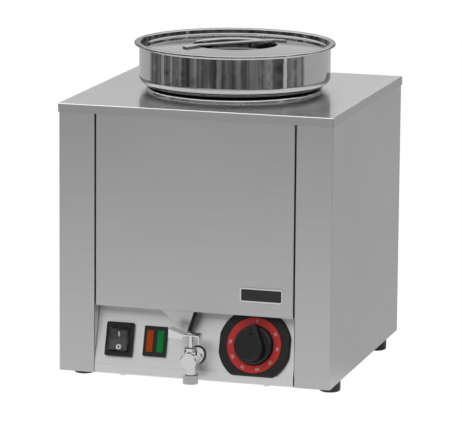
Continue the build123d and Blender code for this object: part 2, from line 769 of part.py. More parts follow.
STRAP_UP = HANDLE_GAP + HANDLE_T / 2
STRAP_END = LID_RECESS_R + HANDLE_REACH
FOOT_END = STRAP_END - HANDLE_FOOT
BAR_Z = crown_top(LID_RECESS_R) + STRAP_UP + HANDLE_RISE
STRAP_COS = cos(radians(HANDLE_TURN))
STRAP_SIN = sin(radians(HANDLE_TURN))
HANDLE_PLANE = Plane((0, CASE_Y, 0), x_dir=(STRAP_COS, STRAP_SIN, 0), z_dir=(STRAP_SIN, -STRAP_COS, 0))
with BuildPart() as lid_handle:
    half_strap = [
        (STRAP_END, crown_top(STRAP_END) + STRAP_UP),
        (FOOT_END, crown_top(FOOT_END) + STRAP_UP),
        (LID_RECESS_R + HANDLE_START, BAR_Z),
    ]
    other_half = [(-x, z) for x, z in reversed(half_strap)]
    strap = strip(HANDLE_PLANE, half_strap + other_half, HANDLE_BEND, HANDLE_T)
    extrude(strap, amount=HANDLE_W / 2, both=True)
save(lid_handle, "lid_handle")

# Heating element: a tube ring under the well's floor with two legs at the back
with BuildPart() as heating_element:
    with BuildSketch(Plane(WELL_AXIS.position, x_dir=(0, 1, 0), z_dir=(1, 0, 0))):
        with Locations((ELEMENT_R, ELEMENT_Z)):
            Circle(ELEMENT_TUBE_R)
    revolve(axis=WELL_AXIS, revolution_arc=ELEMENT_ARC)
    with BuildSketch(level(ELEMENT_Z)):
        for turn in (ELEMENT_START, ELEMENT_START + ELEMENT_ARC):
            with Locations((ELEMENT_R * cos(radians(turn)), ELEMENT_R * sin(radians(turn)))):
                Circle(ELEMENT_TUBE_R)
    extrude(amount=-ELEMENT_LEG)
save(heating_element, "heating_element")

# Heater plate that clamps the element, with holes for the drain, the legs and the sensor's tube
with BuildPart() as heater_plate:
    with BuildSketch(level(PLATE_TOP)):
        Circle(ELEMENT_R + PLATE_RIM)
        with Locations((TAP_X, DRAIN_Y)):
            Circle(SPIGOT_R + HOSE_WALL + PLATE_DRAIN_GAP, mode=Mode.SUBTRACT)
        for turn in (ELEMENT_START, ELEMENT_START + ELEMENT_ARC):
            with Locations((ELEMENT_R * cos(radians(turn)), ELEMENT_R * sin(radians(turn)))):
                Circle(ELEMENT_TUBE_R + LEG_GAP, mode=Mode.SUBTRACT)
        with Locations((CAPILLARY_X, BULB_Y)):
            Circle(CAPILLARY_R + CAPILLARY_HOLE_GAP, mode=Mode.SUBTRACT)
        with PolarLocations(PLATE_STUD_CIRCLE, PLATE_STUD_COUNT, start_angle=90):
            Circle(PLATE_STUD_R + STUD_GAP, mode=Mode.SUBTRACT)
    extrude(amount=-PLATE_T)
save(heater_plate, "heater_plate")

# Plate studs under the well's floor, with their nuts
with BuildPart() as plate_studs:
    with BuildSketch(level(WELL_FLOOR)):
        with PolarLocations(PLATE_STUD_CIRCLE, PLATE_STUD_COUNT, start_angle=90):
            Circle(PLATE_STUD_R)
    extrude(amount=-PLATE_STUD_L)
    with BuildSketch(level(PLATE_LOW)):
        with PolarLocations(PLATE_STUD_CIRCLE, PLATE_STUD_COUNT, start_angle=90):
            RegularPolygon(2 * PLATE_STUD_R, 6)
    extrude(amount=-PLATE_NUT_T)
save(plate_studs, "plate_studs")

# Safety cut-out: a round bimetal thermostat under the heater plate
with BuildPart() as safety_thermostat:
    with BuildSketch(Plane((SAFETY_X, CASE_Y, PLATE_LOW))):
        Circle(SAFETY_R)
    extrude(amount=-SAFETY_H)
    with BuildSketch(Plane((SAFETY_X, CASE_Y, PLATE_LOW - SAFETY_H))):
        with GridLocations(0, SAFETY_R, 1, 2):
            Rectangle(BLADE_W, BLADE_T)
    extrude(amount=-BLADE_L)
save(safety_thermostat, "safety_thermostat")

# Sensor bulb of the thermostat, with its clip on the heater plate
BULB_Z = WELL_FLOOR - HEATER_GAP - BULB_R
with BuildPart() as sensor_bulb:
    with BuildSketch(Plane((-BULB_L / 2, CASE_Y + BULB_Y, BULB_Z), x_dir=(0, 1, 0), z_dir=(1, 0, 0))):
        Circle(BULB_R)
    extrude(amount=BULB_L)
    fillet(sensor_bulb.edges().filter_by(GeomType.CIRCLE), radius=BULB_R / 3)
save(sensor_bulb, "sensor_bulb")

CLIP_HALF = BULB_R + HEATER_GAP + CLIP_T / 2
with BuildPart() as bulb_clip:
    clip_path = [
        (-CLIP_HALF, BULB_Z),
        (-CLIP_HALF, PLATE_TOP + CLIP_T / 2),
        (CLIP_HALF, PLATE_TOP + CLIP_T / 2),
        (CLIP_HALF, BULB_Z),
    ]
    clip_plane = Plane((0, CASE_Y + BULB_Y, 0), x_dir=(0, 1, 0), z_dir=(1, 0, 0))
    extrude(strip(clip_plane, clip_path, CLIP_BEND, CLIP_T), amount=CLIP_W / 2, both=True)
save(bulb_clip, "bulb_clip")

# Thermostat behind the panel: body with a spindle bush, its two screws, spindle and capillary
BODY_FRONT = -SHEET - THERMOSTAT_GAP
with BuildPart() as thermostat_body:
    with BuildSketch(on_panel(DIAL_AT, BODY_FRONT)):
        RectangleRounded(THERMOSTAT_W, THERMOSTAT_H, THERMOSTAT_CORNER_R)
    extrude(amount=-THERMOSTAT_D)
    with BuildSketch(on_panel(DIAL_AT, BODY_FRONT)):
        Circle(SPINDLE_R + PIN_GAP)
    extrude(amount=-BUSH_DEPTH, mode=Mode.SUBTRACT)
    with BuildSketch(on_panel(DIAL_AT, BODY_FRONT)):
        with Locations((-THERMOSTAT_SCREW_PITCH / 2, 0), (THERMOSTAT_SCREW_PITCH / 2, 0)):
            Circle(THERMOSTAT_SCREW_R + SCREW_GAP)
    extrude(amount=-THERMOSTAT_SCREW_L - THREAD_SPARE, mode=Mode.SUBTRACT)
save(thermostat_body, "thermostat_body")

with BuildPart() as thermostat_screws:
    with BuildSketch(on_panel(DIAL_AT)):
        with Locations((-THERMOSTAT_SCREW_PITCH / 2, 0), (THERMOSTAT_SCREW_PITCH / 2, 0)):
            Circle(THERMOSTAT_SCREW_HEAD_R)
    extrude(amount=THERMOSTAT_SCREW_HEAD)
    with BuildSketch(on_panel(DIAL_AT)):
        with Locations((-THERMOSTAT_SCREW_PITCH / 2, 0), (THERMOSTAT_SCREW_PITCH / 2, 0)):
            Circle(THERMOSTAT_SCREW_R)
    extrude(amount=-THERMOSTAT_SCREW_L)
save(thermostat_screws, "thermostat_screws")

KNOB_LOW = BEZEL_T + DIAL_T + KNOB_GAP
SPINDLE_END = KNOB_LOW + KNOB_BORE_DEPTH
with BuildPart() as spindle:
    with BuildSketch(on_panel(DIAL_AT, SPINDLE_END)):
        Circle(SPINDLE_R)
    extrude(amount=-SPINDLE_END + BODY_FRONT - BUSH_DEPTH + THREAD_SPARE)
save(spindle, "spindle")

# The capillary runs from the bulb's end through the plate and down to the thermostat's back
body_back = on_panel(DIAL_AT, BODY_FRONT - THERMOSTAT_D).origin
CAPILLARY_PATH = [
    (BULB_L / 2, CASE_Y + BULB_Y, BULB_Z),
    (CAPILLARY_X, CASE_Y + BULB_Y, BULB_Z),
    (CAPILLARY_X, CASE_Y + BULB_Y, body_back.Z),
    (body_back.X, CASE_Y + CAPILLARY_CORNER_Y, body_back.Z),
    (body_back.X, body_back.Y + CAPILLARY_R / 2, body_back.Z),
]
with BuildPart() as capillary:
    with BuildLine() as route:
        FilletPolyline(*CAPILLARY_PATH, radius=CAPILLARY_BEND)
    with BuildSketch(Plane(CAPILLARY_PATH[0], x_dir=(0, 1, 0), z_dir=(1, 0, 0))):
        Circle(CAPILLARY_R)
    sweep(path=route.wires()[0])
save(capillary, "capillary")

# Thermostat bezel: a disc cut flat on its four sides, with a soft edge, standing on the panel
with BuildPart() as thermostat_bezel:
    with BuildSketch(on_panel(DIAL_AT)) as bezel_outline:
        Circle(BEZEL_R)
        Rectangle(BEZEL_W, BEZEL_H, mode=Mode.INTERSECT)
        fillet(bezel_outline.vertices(), radius=BEZEL_CORNER_R)
    extrude(amount=BEZEL_T)
    fillet(thermostat_bezel.faces().sort_by(OUT)[-1].edges(), radius=BEZEL_EDGE_R)
    with BuildSketch(on_panel(DIAL_AT)):
        Circle(SPINDLE_HOLE_R)
        with Locations((-THERMOSTAT_SCREW_PITCH / 2, 0), (THERMOSTAT_SCREW_PITCH / 2, 0)):
            Circle(THERMOSTAT_SCREW_HEAD_R + THERMOSTAT_GAP)
    extrude(amount=BEZEL_T, mode=Mode.SUBTRACT)
save(thermostat_bezel, "thermostat_bezel")

with BuildPart() as dial_ring:
    with BuildSketch(on_panel(DIAL_AT, BEZEL_T)):
        Circle(DIAL_OUTER_R)
        Circle(DIAL_INNER_R, mode=Mode.SUBTRACT)
    extrude(amount=DIAL_T)
save(dial_ring, "dial_ring")

# Knob: a round skirt with a raised drop-shaped grip whose nose reaches out over the red ring
with BuildPart() as knob:
    with BuildSketch(on_panel(DIAL_AT, KNOB_LOW)):
        Circle(KNOB_R)
    extrude(amount=KNOB_BASE_H)
    fillet(knob.faces().sort_by(OUT)[-1].edges(), radius=KNOB_SKIRT_R)
    with BuildSketch(on_panel(DIAL_AT, KNOB_LOW + KNOB_GRIP_FROM)):
        with Locations((0, KNOB_NOSE_REACH - KNOB_NOSE_R)):
            Circle(KNOB_NOSE_R)
        with Locations((0, KNOB_TAIL_R - KNOB_TAIL_REACH)):
            Circle(KNOB_TAIL_R)
        make_hull()
    extrude(amount=KNOB_H - KNOB_GRIP_FROM, taper=KNOB_GRIP_TAPER)
    fillet(knob.faces().sort_by(OUT)[-1].edges(), radius=KNOB_EDGE_R)
    with BuildSketch(on_panel(DIAL_AT, KNOB_LOW)):
        Circle(SPINDLE_R)
    extrude(amount=KNOB_BORE_DEPTH, mode=Mode.SUBTRACT)
save(knob, "knob")

# Switch housing: flange on the panel, body behind it, pocket and pin holes for the rocker
ROCKER_W = CUTOUT_W - 2 * ROCKER_INSET_W
ROCKER_H = CUTOUT_H - 2 * ROCKER_INSET_H
POCKET_W = ROCKER_W + POCKET_GAP
POCKET_H = ROCKER_H + 2 * POCKET_GAP
PIN_REACH = ROCKER_W / 2 + ROCKER_PIN_L
with BuildPart() as switch_housing:
    with BuildSketch(on_panel(SWITCH_AT)):
        RectangleRounded(SWITCH_W, SWITCH_H, SWITCH_CORNER_R)
    extrude(amount=SWITCH_FLANGE)
    with BuildSketch(on_panel(SWITCH_AT)):
        Rectangle(CUTOUT_W - 2 * CUTOUT_GAP, CUTOUT_H - 2 * CUTOUT_GAP)
    extrude(amount=-SWITCH_BODY_DEPTH)
    with BuildSketch(on_panel(SWITCH_AT, SWITCH_FLANGE)):
        Rectangle(POCKET_W, POCKET_H)
    extrude(amount=-SWITCH_FLANGE - POCKET_DEPTH, mode=Mode.SUBTRACT)
    pivot = on_panel(SWITCH_AT, ROCKER_PIVOT)
    with BuildSketch(Plane(pivot.origin, x_dir=pivot.y_dir, z_dir=pivot.x_dir)):
        Circle(ROCKER_PIN_R + PIN_GAP)
    extrude(amount=PIN_REACH + PIN_END_GAP, both=True, mode=Mode.SUBTRACT)
    with BuildSketch(on_panel(SWITCH_AT, -SWITCH_BODY_DEPTH)):
        with GridLocations(0, SWITCH_BLADE_PITCH, 1, SWITCH_BLADES):
            Rectangle(BLADE_W, BLADE_T)
    extrude(amount=-BLADE_L)
save(switch_housing, "switch_housing")

# Rocker at rest with its lower half pressed in: off
rocker_turn = radians(ROCKER_TILT)
rocker_up = pivot.y_dir * cos(rocker_turn) + pivot.z_dir * sin(rocker_turn)
ROCKER_SIDE = Plane(pivot.origin, x_dir=rocker_up, z_dir=pivot.x_dir)
with BuildPart() as switch_rocker:
    with BuildSketch(ROCKER_SIDE):
        with BuildLine():
            Polyline(
                (-ROCKER_H / 2, -ROCKER_END_IN),
                (-ROCKER_LAND, -ROCKER_MID_IN),
                (ROCKER_LAND, -ROCKER_MID_IN),
                (ROCKER_H / 2, -ROCKER_END_IN),
                (ROCKER_H / 2 - ROCKER_TAPER, ROCKER_END_OUT),
                (0, ROCKER_MID_OUT),
                (ROCKER_TAPER - ROCKER_H / 2, ROCKER_END_OUT),
                close=True,
            )
        make_face()
    extrude(amount=ROCKER_W / 2, both=True)
    with BuildSketch(ROCKER_SIDE):
        Circle(ROCKER_PIN_R)
    extrude(amount=PIN_REACH, both=True)
save(switch_rocker, "switch_rocker")

# Black guard frame on the switch flange, rebated below for the rim of the clear boot
DOME_W = SWITCH_W - 2 * DOME_INSET_W
DOME_H = SWITCH_H - 2 * DOME_INSET_H
RIM_W = DOME_W + 2 * COVER_RIM
RIM_H = DOME_H + 2 * COVER_RIM
with BuildPart() as switch_guard:
    with BuildSketch(on_panel(SWITCH_AT, SWITCH_FLANGE)):
        RectangleRounded(SWITCH_W, SWITCH_H, SWITCH_CORNER_R)
        Rectangle(DOME_W + 2 * LENS_GAP, DOME_H + 2 * LENS_GAP, mode=Mode.SUBTRACT)
    extrude(amount=GUARD_T)
    chamfer(switch_guard.faces().sort_by(OUT)[-1].outer_wire().edges(), length=GUARD_EDGE)
    with BuildSketch(on_panel(SWITCH_AT, SWITCH_FLANGE)):
        Rectangle(RIM_W + 2 * LENS_GAP, RIM_H + 2 * LENS_GAP)
    extrude(amount=COVER_T + LENS_GAP, mode=Mode.SUBTRACT)
save(switch_guard, "switch_guard")

# Clear moulded boot over the rocker: a saddle, high at its two ends, with a rim held by the guard
DOME_SIDE = Plane(on_panel(SWITCH_AT).origin, x_dir=PANEL.y_dir, z_dir=PANEL.x_dir)
DOME_END = SWITCH_FLANGE + GUARD_T + DOME_END_UP
DOME_MID = SWITCH_FLANGE + GUARD_T + DOME_MID_UP


def dome_profile(inset):
    """Side view of the boot, drawn in by an inset at its ends and its saddle."""
    half = DOME_H / 2 - inset
    with BuildSketch(DOME_SIDE) as profile:
        with BuildLine():
            Polyline(
                (-half, SWITCH_FLANGE),
                (-half, DOME_END - inset),
                (0, DOME_MID - inset),
                (half, DOME_END - inset),
                (half, SWITCH_FLANGE),
                close=True,
            )
        make_face()
    return profile.sketch


with BuildPart() as switch_cover:
    extrude(dome_profile(0), amount=DOME_W / 2, both=True)
    fillet(switch_cover.edges().filter_by(OUT), radius=DOME_CORNER_R)
    with BuildSketch(on_panel(SWITCH_AT, SWITCH_FLANGE)):
        Rectangle(RIM_W, RIM_H)
    extrude(amount=COVER_T)
    extrude(dome_profile(COVER_T), amount=DOME_W / 2 - COVER_T, both=True, mode=Mode.SUBTRACT)
save(switch_cover, "switch_cover")

# Twin pilot lamp: black housing with two lens pockets
with BuildPart() as lamp_housing:
    with BuildSketch(on_panel(LAMP_AT)):
        RectangleRounded(LAMP_W, LAMP_H, LAMP_CORNER_R)
    extrude(amount=LAMP_FLANGE)
    with BuildSketch(on_panel(LAMP_AT)):
        Rectangle(CUTOUT_W - 2 * CUTOUT_GAP, CUTOUT_H - 2 * CUTOUT_GAP)
    extrude(amount=-LAMP_BODY_DEPTH)
    with BuildSketch(on_panel(LAMP_AT, LAMP_FLANGE)):
        with GridLocations(LENS_PITCH, 0, 2, 1):
            Rectangle(LENS_W + 2 * LENS_GAP, LENS_H + 2 * LENS_GAP)
    extrude(amount=-LENS_T, mode=Mode.SUBTRACT)
save(lamp_housing, "lamp_housing")

for lens_name, lens_side in (("orange_lens", -1), ("green_lens", 1)):
    lens_at = (LAMP_AT[0] + lens_side * LENS_PITCH / 2, LAMP_AT[1])
    with BuildPart() as lens:
        with BuildSketch(on_panel(lens_at, LAMP_FLANGE - LENS_T)):
            Rectangle(LENS_W, LENS_H)
        extrude(amount=LENS_T + LENS_PROUD)
    save(lens, lens_name)

# Badge: a bare framed plate on the front panel
BADGE_X = COLUMN_IN - BADGE_INSET
FIELD_W = BADGE_W - 2 * BADGE_BORDER
FIELD_H = BADGE_H - 2 * BADGE_BORDER
with BuildPart() as badge_plate:
    with BuildSketch(facing_front(FRONT, x=BADGE_X, z=LOW + BADGE_Z)):
        RectangleRounded(BADGE_W, BADGE_H, BADGE_CORNER_R)
    extrude(amount=BADGE_T)
    with BuildSketch(facing_front(FRONT - BADGE_T, x=BADGE_X, z=LOW + BADGE_Z)):
        RectangleRounded(FIELD_W, FIELD_H, BADGE_CORNER_R - BADGE_BORDER)
    extrude(amount=-INLAY_T, mode=Mode.SUBTRACT)
save(badge_plate, "badge_plate")

with BuildPart() as badge_inlay:
    inlay_w = FIELD_W - 2 * LENS_GAP
    inlay_h = FIELD_H - 2 * LENS_GAP
    with BuildSketch(facing_front(FRONT - BADGE_T + INLAY_T, x=BADGE_X, z=LOW + BADGE_Z)):
        RectangleRounded(inlay_w, inlay_h, BADGE_CORNER_R - BADGE_BORDER - LENS_GAP)
    extrude(amount=INLAY_T - INLAY_SET)
save(badge_inlay, "badge_inlay")

# Tongue: a pointed steel guard that comes down from the front panel over the tap
TONGUE_TOP = FRONT_LOW - COVER_GAP
TONGUE_LEFT = TAP_X - TONGUE_FROM
TONGUE_RIGHT = TAP_X - TONGUE_TO
TIP = (TAP_X - TONGUE_TIP_AT, LOW + TONGUE_TIP_Z)
with BuildPart() as tap_guard:
    with BuildSketch(facing_front(FRONT)):
        with BuildLine():
            Polyline((TONGUE_LEFT, TONGUE_TOP), (TONGUE_RIGHT, TONGUE_TOP), TIP, close=True)
        make_face()
    extrude(amount=-SHEET)
    tab_x = (TONGUE_LEFT + TONGUE_RIGHT) / 2
    with BuildSketch(Plane.XY.offset(TONGUE_TOP)):
        with Locations((tab_x, FRONT + TONGUE_TAB / 2)):
            Rectangle(TONGUE_TAB_W, TONGUE_TAB)
    extrude(amount=-SHEET)
save(tap_guard, "tap_guard")

# Dark wall along the tongue's right edge, back towards the sloping panel
STRIP_FAR = LENS_GAP + TONGUE_STRIP_T
with BuildPart() as guard_strip:
    with BuildSketch(facing_front(FRONT)):
        with BuildLine():
            Polyline(
                (TONGUE_RIGHT + LENS_GAP, TONGUE_TOP),
                (TONGUE_RIGHT + STRIP_FAR, TONGUE_TOP),
                (TIP[0] + STRIP_FAR, TIP[1]),
                (TIP[0] + LENS_GAP, TIP[1]),
                close=True,
            )
        make_face()
    extrude(amount=-TONGUE_STRIP_DEPTH)
    split(bisect_by=on_panel((0, 0), LENS_GAP), keep=Keep.TOP)
save(guard_strip, "guard_strip")

# Tap gasket: a rubber ring between the tap's rose and the sloping panel
with BuildPart() as tap_gasket:
    with BuildSketch(facing_front(FRONT - TAP_ROSE_FRONT, x=TAP_X, z=TAP_HEIGHT)):
        Circle(GASKET_R)
        Circle(TAP_TAIL_R + PIN_GAP, mode=Mode.SUBTRACT)
    extrude(amount=-TAP_ROSE_FRONT - RECESS_DEPTH)
    split(bisect_by=on_panel((0, 0), PIN_GAP), keep=Keep.TOP)
    split(bisect_by=on_panel((0, 0), PIN_GAP + GASKET_T), keep=Keep.BOTTOM)
save(tap_gasket, "tap_gasket")

# Tap body: round rose cut to the slope, tail, barrel, bonnet and spout with its ferrule, all bored
with BuildPart() as tap_body:
    with BuildSketch(facing_front(FRONT - TAP_ROSE_FRONT, x=TAP_X, z=TAP_HEIGHT)):
        Circle(TAP_ROSE_R)
    extrude(amount=-TAP_ROSE_FRONT - RECESS_DEPTH)
    split(bisect_by=on_panel((0, 0), GASKET_T + 2 * PIN_GAP), keep=Keep.TOP)
    fillet(tap_body.faces().sort_by(Axis.Y)[0].edges(), radius=TAP_EDGE_R)
    with BuildSketch(facing_front(FRONT - TAP_BARREL_START, x=TAP_X, z=TAP_HEIGHT)):
        Circle(TAP_NECK_R)
    extrude(amount=-(TAP_BARREL_START - TAP_TAIL_START))
    with BuildSketch(facing_front(FRONT - TAP_TAIL_START, x=TAP_X, z=TAP_HEIGHT)):
        Circle(TAP_TAIL_R)
    extrude(amount=-TAP_TAIL_L)
    with BuildSketch(Plane((TAP_X, TAP_Y, TAP_HEIGHT))):
        Circle(BONNET_R)
    extrude(amount=BONNET_UP)
    with BuildSketch(Plane((TAP_X, TAP_Y, TAP_HEIGHT))):
        Circle(SPOUT_R)
    extrude(amount=-(TAP_Z - SPOUT_BOTTOM))
    with BuildSketch(Plane((TAP_X, TAP_Y, LOW + SPOUT_BOTTOM))):
        Circle(FERRULE_R)
    extrude(amount=FERRULE_H)
    with BuildSketch(facing_front(FRONT - TAP_BARREL_START, x=TAP_X, z=TAP_HEIGHT)):
        Circle(TAP_BARREL_R)
    extrude(amount=TAP_REACH - TAP_BARREL_START)
    fillet(tap_body.faces().sort_by(Axis.Y)[0].edges(), radius=TAP_EDGE_R)
    with BuildSketch(facing_back(FRONT - TAP_AXIS_REACH, x=TAP_X, z=TAP_HEIGHT)):
        Circle(TAP_BORE_R)
    extrude(amount=TAP_AXIS_REACH + TAP_TAIL_L, mode=Mode.SUBTRACT)
    with BuildSketch(Plane((TAP_X, TAP_Y, LOW))):
        Circle(TAP_BORE_R)
    extrude(amount=TAP_Z, mode=Mode.SUBTRACT)
    with BuildSketch(Plane((TAP_X, TAP_Y, TAP_HEIGHT - PLUG_LOW))):
        Circle(PLUG_R + PIN_GAP)
    extrude(amount=PLUG_LOW + BONNET_UP, mode=Mode.SUBTRACT)
save(tap_body, "tap_body")

# Tap plug and stem in one: an angled port, shut at rest, that a quarter turn brings to the inlet
BONNET_TOP = TAP_Z + BONNET_UP
LEVER_Z = BONNET_TOP + GLAND_NUT_T + LEVER_UP
STEM_TOP = LEVER_Z + LEVER_T / 2 + LEVER_NUT_T + STEM_PAST
with BuildPart() as tap_plug:
    with BuildSketch(Plane((TAP_X, TAP_Y, TAP_HEIGHT - PLUG_LOW + PIN_GAP))):
        Circle(PLUG_R)
    extrude(amount=PLUG_LOW + PLUG_HIGH - PIN_GAP)
    with BuildSketch(Plane((TAP_X, TAP_Y, TAP_HEIGHT))):
        Circle(STEM_R)
    extrude(amount=STEM_TOP - TAP_Z)
    with BuildSketch(Plane((TAP_X, TAP_Y, TAP_HEIGHT - PLUG_LOW))):
        Circle(PLUG_PORT_R)
    extrude(amount=PLUG_LOW, mode=Mode.SUBTRACT)
    with BuildSketch(Plane((TAP_X, TAP_Y, TAP_HEIGHT), x_dir=(0, 1, 0), z_dir=(1, 0, 0))):
        Circle(PLUG_PORT_R)
    extrude(amount=PLUG_R + BONNET_R, mode=Mode.SUBTRACT)
save(tap_plug, "tap_plug")

with BuildPart() as tap_gland_nut:
    with BuildSketch(Plane((TAP_X, TAP_Y, LOW + BONNET_TOP))):
        RegularPolygon(GLAND_NUT_R, 6)
        Circle(STEM_R + PIN_GAP, mode=Mode.SUBTRACT)
    extrude(amount=GLAND_NUT_T)
save(tap_gland_nut, "tap_gland_nut")

# Lever: stamped channel that points left when shut, with a turned-down stop at its other end
LEVER_PLANE = facing_front(TAP_Y, x=TAP_X, z=LOW)
GRIP_RUN = LEVER_LEFT - LEVER_FLAT
GRIP_TOP_Z = LEVER_Z + GRIP_RUN * tan(radians(LEVER_RISE))
with BuildPart() as tap_lever:
    web = [
        (LEVER_RIGHT, LEVER_Z - LEVER_STOP),
        (LEVER_RIGHT, LEVER_Z),
        (-LEVER_FLAT, LEVER_Z),
        (-LEVER_LEFT, GRIP_TOP_Z),
    ]
    extrude(strip(LEVER_PLANE, web, LEVER_BEND, LEVER_T), amount=LEVER_W / 2, both=True)
    with BuildSketch(LEVER_PLANE) as side_flanges:
        with BuildLine():
            Polyline(
                (-LEVER_FLAT, LEVER_Z),
                (-LEVER_LEFT, GRIP_TOP_Z),
                (-LEVER_LEFT, GRIP_TOP_Z - LEVER_FLANGE),
                (-LEVER_FLAT - LEVER_HEEL, LEVER_Z - LEVER_FLANGE / 2),
                close=True,
            )
        make_face()
    extrude(amount=LEVER_W / 2, both=True)
    with BuildSketch(LEVER_PLANE):
        with BuildLine():
            Polyline(
                (-LEVER_FLAT + LEVER_OPEN, LEVER_Z - LEVER_T / 2),
                (-LEVER_FLAT, LEVER_Z - LEVER_T / 2),
                (-LEVER_LEFT - LEVER_T, GRIP_TOP_Z - LEVER_T / 2 + LEVER_T * tan(radians(LEVER_RISE))),
                (-LEVER_LEFT - LEVER_T, GRIP_TOP_Z - 2 * LEVER_FLANGE),
                (-LEVER_FLAT + LEVER_OPEN, LEVER_Z - 2 * LEVER_FLANGE),
                close=True,
            )
        make_face()
    extrude(amount=LEVER_W / 2 - LEVER_T, both=True, mode=Mode.SUBTRACT)
    with BuildSketch(Plane((TAP_X, TAP_Y, LOW + LEVER_Z - LEVER_T))):
        Circle(STEM_R + PIN_GAP)
    extrude(amount=2 * LEVER_T, mode=Mode.SUBTRACT)
save(tap_lever, "tap_lever")

with BuildPart() as lever_nut:
    with BuildSketch(Plane((TAP_X, TAP_Y, LOW + LEVER_Z + LEVER_T / 2))):
        RegularPolygon(LEVER_NUT_R, 6)
        Circle(STEM_R + PIN_GAP, mode=Mode.SUBTRACT)
    extrude(amount=LEVER_NUT_T)
save(lever_nut, "lever_nut")

# Lock nut on the tap's tail, behind the panel
NUT_FRONT = panel_y(TAP_HEIGHT + LOCK_NUT_R) + 2 * SHEET
with BuildPart() as tap_lock_nut:
    with BuildSketch(facing_back(NUT_FRONT, x=TAP_X, z=TAP_HEIGHT)):
        RegularPolygon(LOCK_NUT_R, 6)
        Circle(TAP_TAIL_R + PIN_GAP, mode=Mode.SUBTRACT)
    extrude(amount=LOCK_NUT_T)
save(tap_lock_nut, "tap_lock_nut")

# Drain hose from the well's spigot to the tap's tail, with a clamp at each end
TAIL_END = FRONT - TAP_TAIL_START + TAP_TAIL_L
SPIGOT_END = WELL_FLOOR - SPIGOT_L
HOSE_R = SPIGOT_R + HOSE_GAP + HOSE_WALL
HOSE_PATH = [
    (TAP_X, CASE_Y + DRAIN_Y, SPIGOT_END + HOSE_LAP),
    (TAP_X, CASE_Y + DRAIN_Y, TAP_HEIGHT),
    (TAP_X, TAIL_END - HOSE_LAP, TAP_HEIGHT),
]
with BuildPart() as drain_hose:
    with BuildLine() as hose_route:
        FilletPolyline(*HOSE_PATH, radius=HOSE_BEND)
    with BuildSketch(Plane(HOSE_PATH[0], z_dir=(0, 0, -1))):
        Circle(HOSE_R)
        Circle(HOSE_R - HOSE_WALL, mode=Mode.SUBTRACT)
    sweep(path=hose_route.wires()[0])
save(drain_hose, "drain_hose")

with BuildPart() as hose_clamps:
    with BuildSketch(Plane((TAP_X, CASE_Y + DRAIN_Y, SPIGOT_END + CLAMP_SET))):
        Circle(HOSE_R + HOSE_GAP + HOSE_CLAMP_T)
        Circle(HOSE_R + HOSE_GAP, mode=Mode.SUBTRACT)
    extrude(amount=-HOSE_CLAMP_W)
    with BuildSketch(facing_back(TAIL_END - CLAMP_SET, x=TAP_X, z=TAP_HEIGHT)):
        Circle(HOSE_R + HOSE_GAP + HOSE_CLAMP_T)
        Circle(HOSE_R + HOSE_GAP, mode=Mode.SUBTRACT)
    extrude(amount=HOSE_CLAMP_W)
save(hose_clamps, "hose_clamps")

# Mains cable gland through the rear panel, and its nut inside
with BuildPart() as cable_gland:
    with BuildSketch(facing_back(REAR_FACE, x=GLAND_X, z=LOW + GLAND_Z)):
        RegularPolygon(GLAND_HEX_R, 6)
    extrude(amount=GLAND_HEX_T)
    with BuildSketch(facing_back(REAR_FACE, x=GLAND_X, z=LOW + GLAND_Z)):
        Circle(GLAND_DOME_R)
    extrude(amount=BACK + GLAND_REACH - REAR_FACE)
    fillet(cable_gland.faces().sort_by(Axis.Y)[-1].edges(), radius=GLAND_EDGE_R)
    with BuildSketch(facing_back(REAR_FACE, x=GLAND_X, z=LOW + GLAND_Z)):
        Circle(GLAND_THREAD_R)
    extrude(amount=-GLAND_THREAD_L)
    with BuildSketch(facing_back(BACK + GLAND_REACH, x=GLAND_X, z=LOW + GLAND_Z)):
        Circle(GLAND_BORE_R)
    extrude(amount=-GLAND_REACH - GLAND_THREAD_L - 2 * SHEET, mode=Mode.SUBTRACT)
save(cable_gland, "cable_gland")

with BuildPart() as gland_nut:
    with BuildSketch(facing_front(REAR_FACE - SHEET, x=GLAND_X, z=LOW + GLAND_Z)):
        RegularPolygon(GLAND_NUT_OUTER_R, 6)
        Circle(GLAND_THREAD_R + PIN_GAP, mode=Mode.SUBTRACT)
    extrude(amount=GLAND_BACK_NUT_T)
save(gland_nut, "gland_nut")

# Earth stud with a nut on each side of the rear panel
with BuildPart() as earth_stud:
    with BuildSketch(facing_back(REAR_FACE + EARTH_OUT, x=EARTH_X, z=LOW + GLAND_Z)):
        Circle(EARTH_R)
    extrude(amount=-2 * EARTH_OUT)
    with BuildSketch(facing_back(REAR_FACE, x=EARTH_X, z=LOW + GLAND_Z)):
        RegularPolygon(EARTH_NUT_R, 6)
    extrude(amount=EARTH_NUT_T)
    with BuildSketch(facing_front(REAR_FACE - SHEET, x=EARTH_X, z=LOW + GLAND_Z)):
        RegularPolygon(EARTH_NUT_R, 6)
    extrude(amount=EARTH_NUT_T)
save(earth_stud, "earth_stud")

# Terminal block on the base plate
with BuildPart() as terminal_block:
    with BuildSketch(Plane((BLOCK_X, CASE_Y + BLOCK_Y, BASE_TOP))):
        Rectangle(BLOCK_W, BLOCK_D)
    extrude(amount=BLOCK_H)
    with BuildSketch(Plane((BLOCK_X, CASE_Y + BLOCK_Y, BASE_TOP + BLOCK_H))):
        with GridLocations(BLOCK_W / BLOCK_WAYS, BLOCK_D / 2, BLOCK_WAYS, 2):
            Circle(BLOCK_HOLE_R)
    extrude(amount=-BLOCK_HOLE_DEPTH, mode=Mode.SUBTRACT)
save(terminal_block, "terminal_block")
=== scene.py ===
from math import asin, cos, radians, sin

import bmesh
import bpy
from mathutils import Matrix, Vector


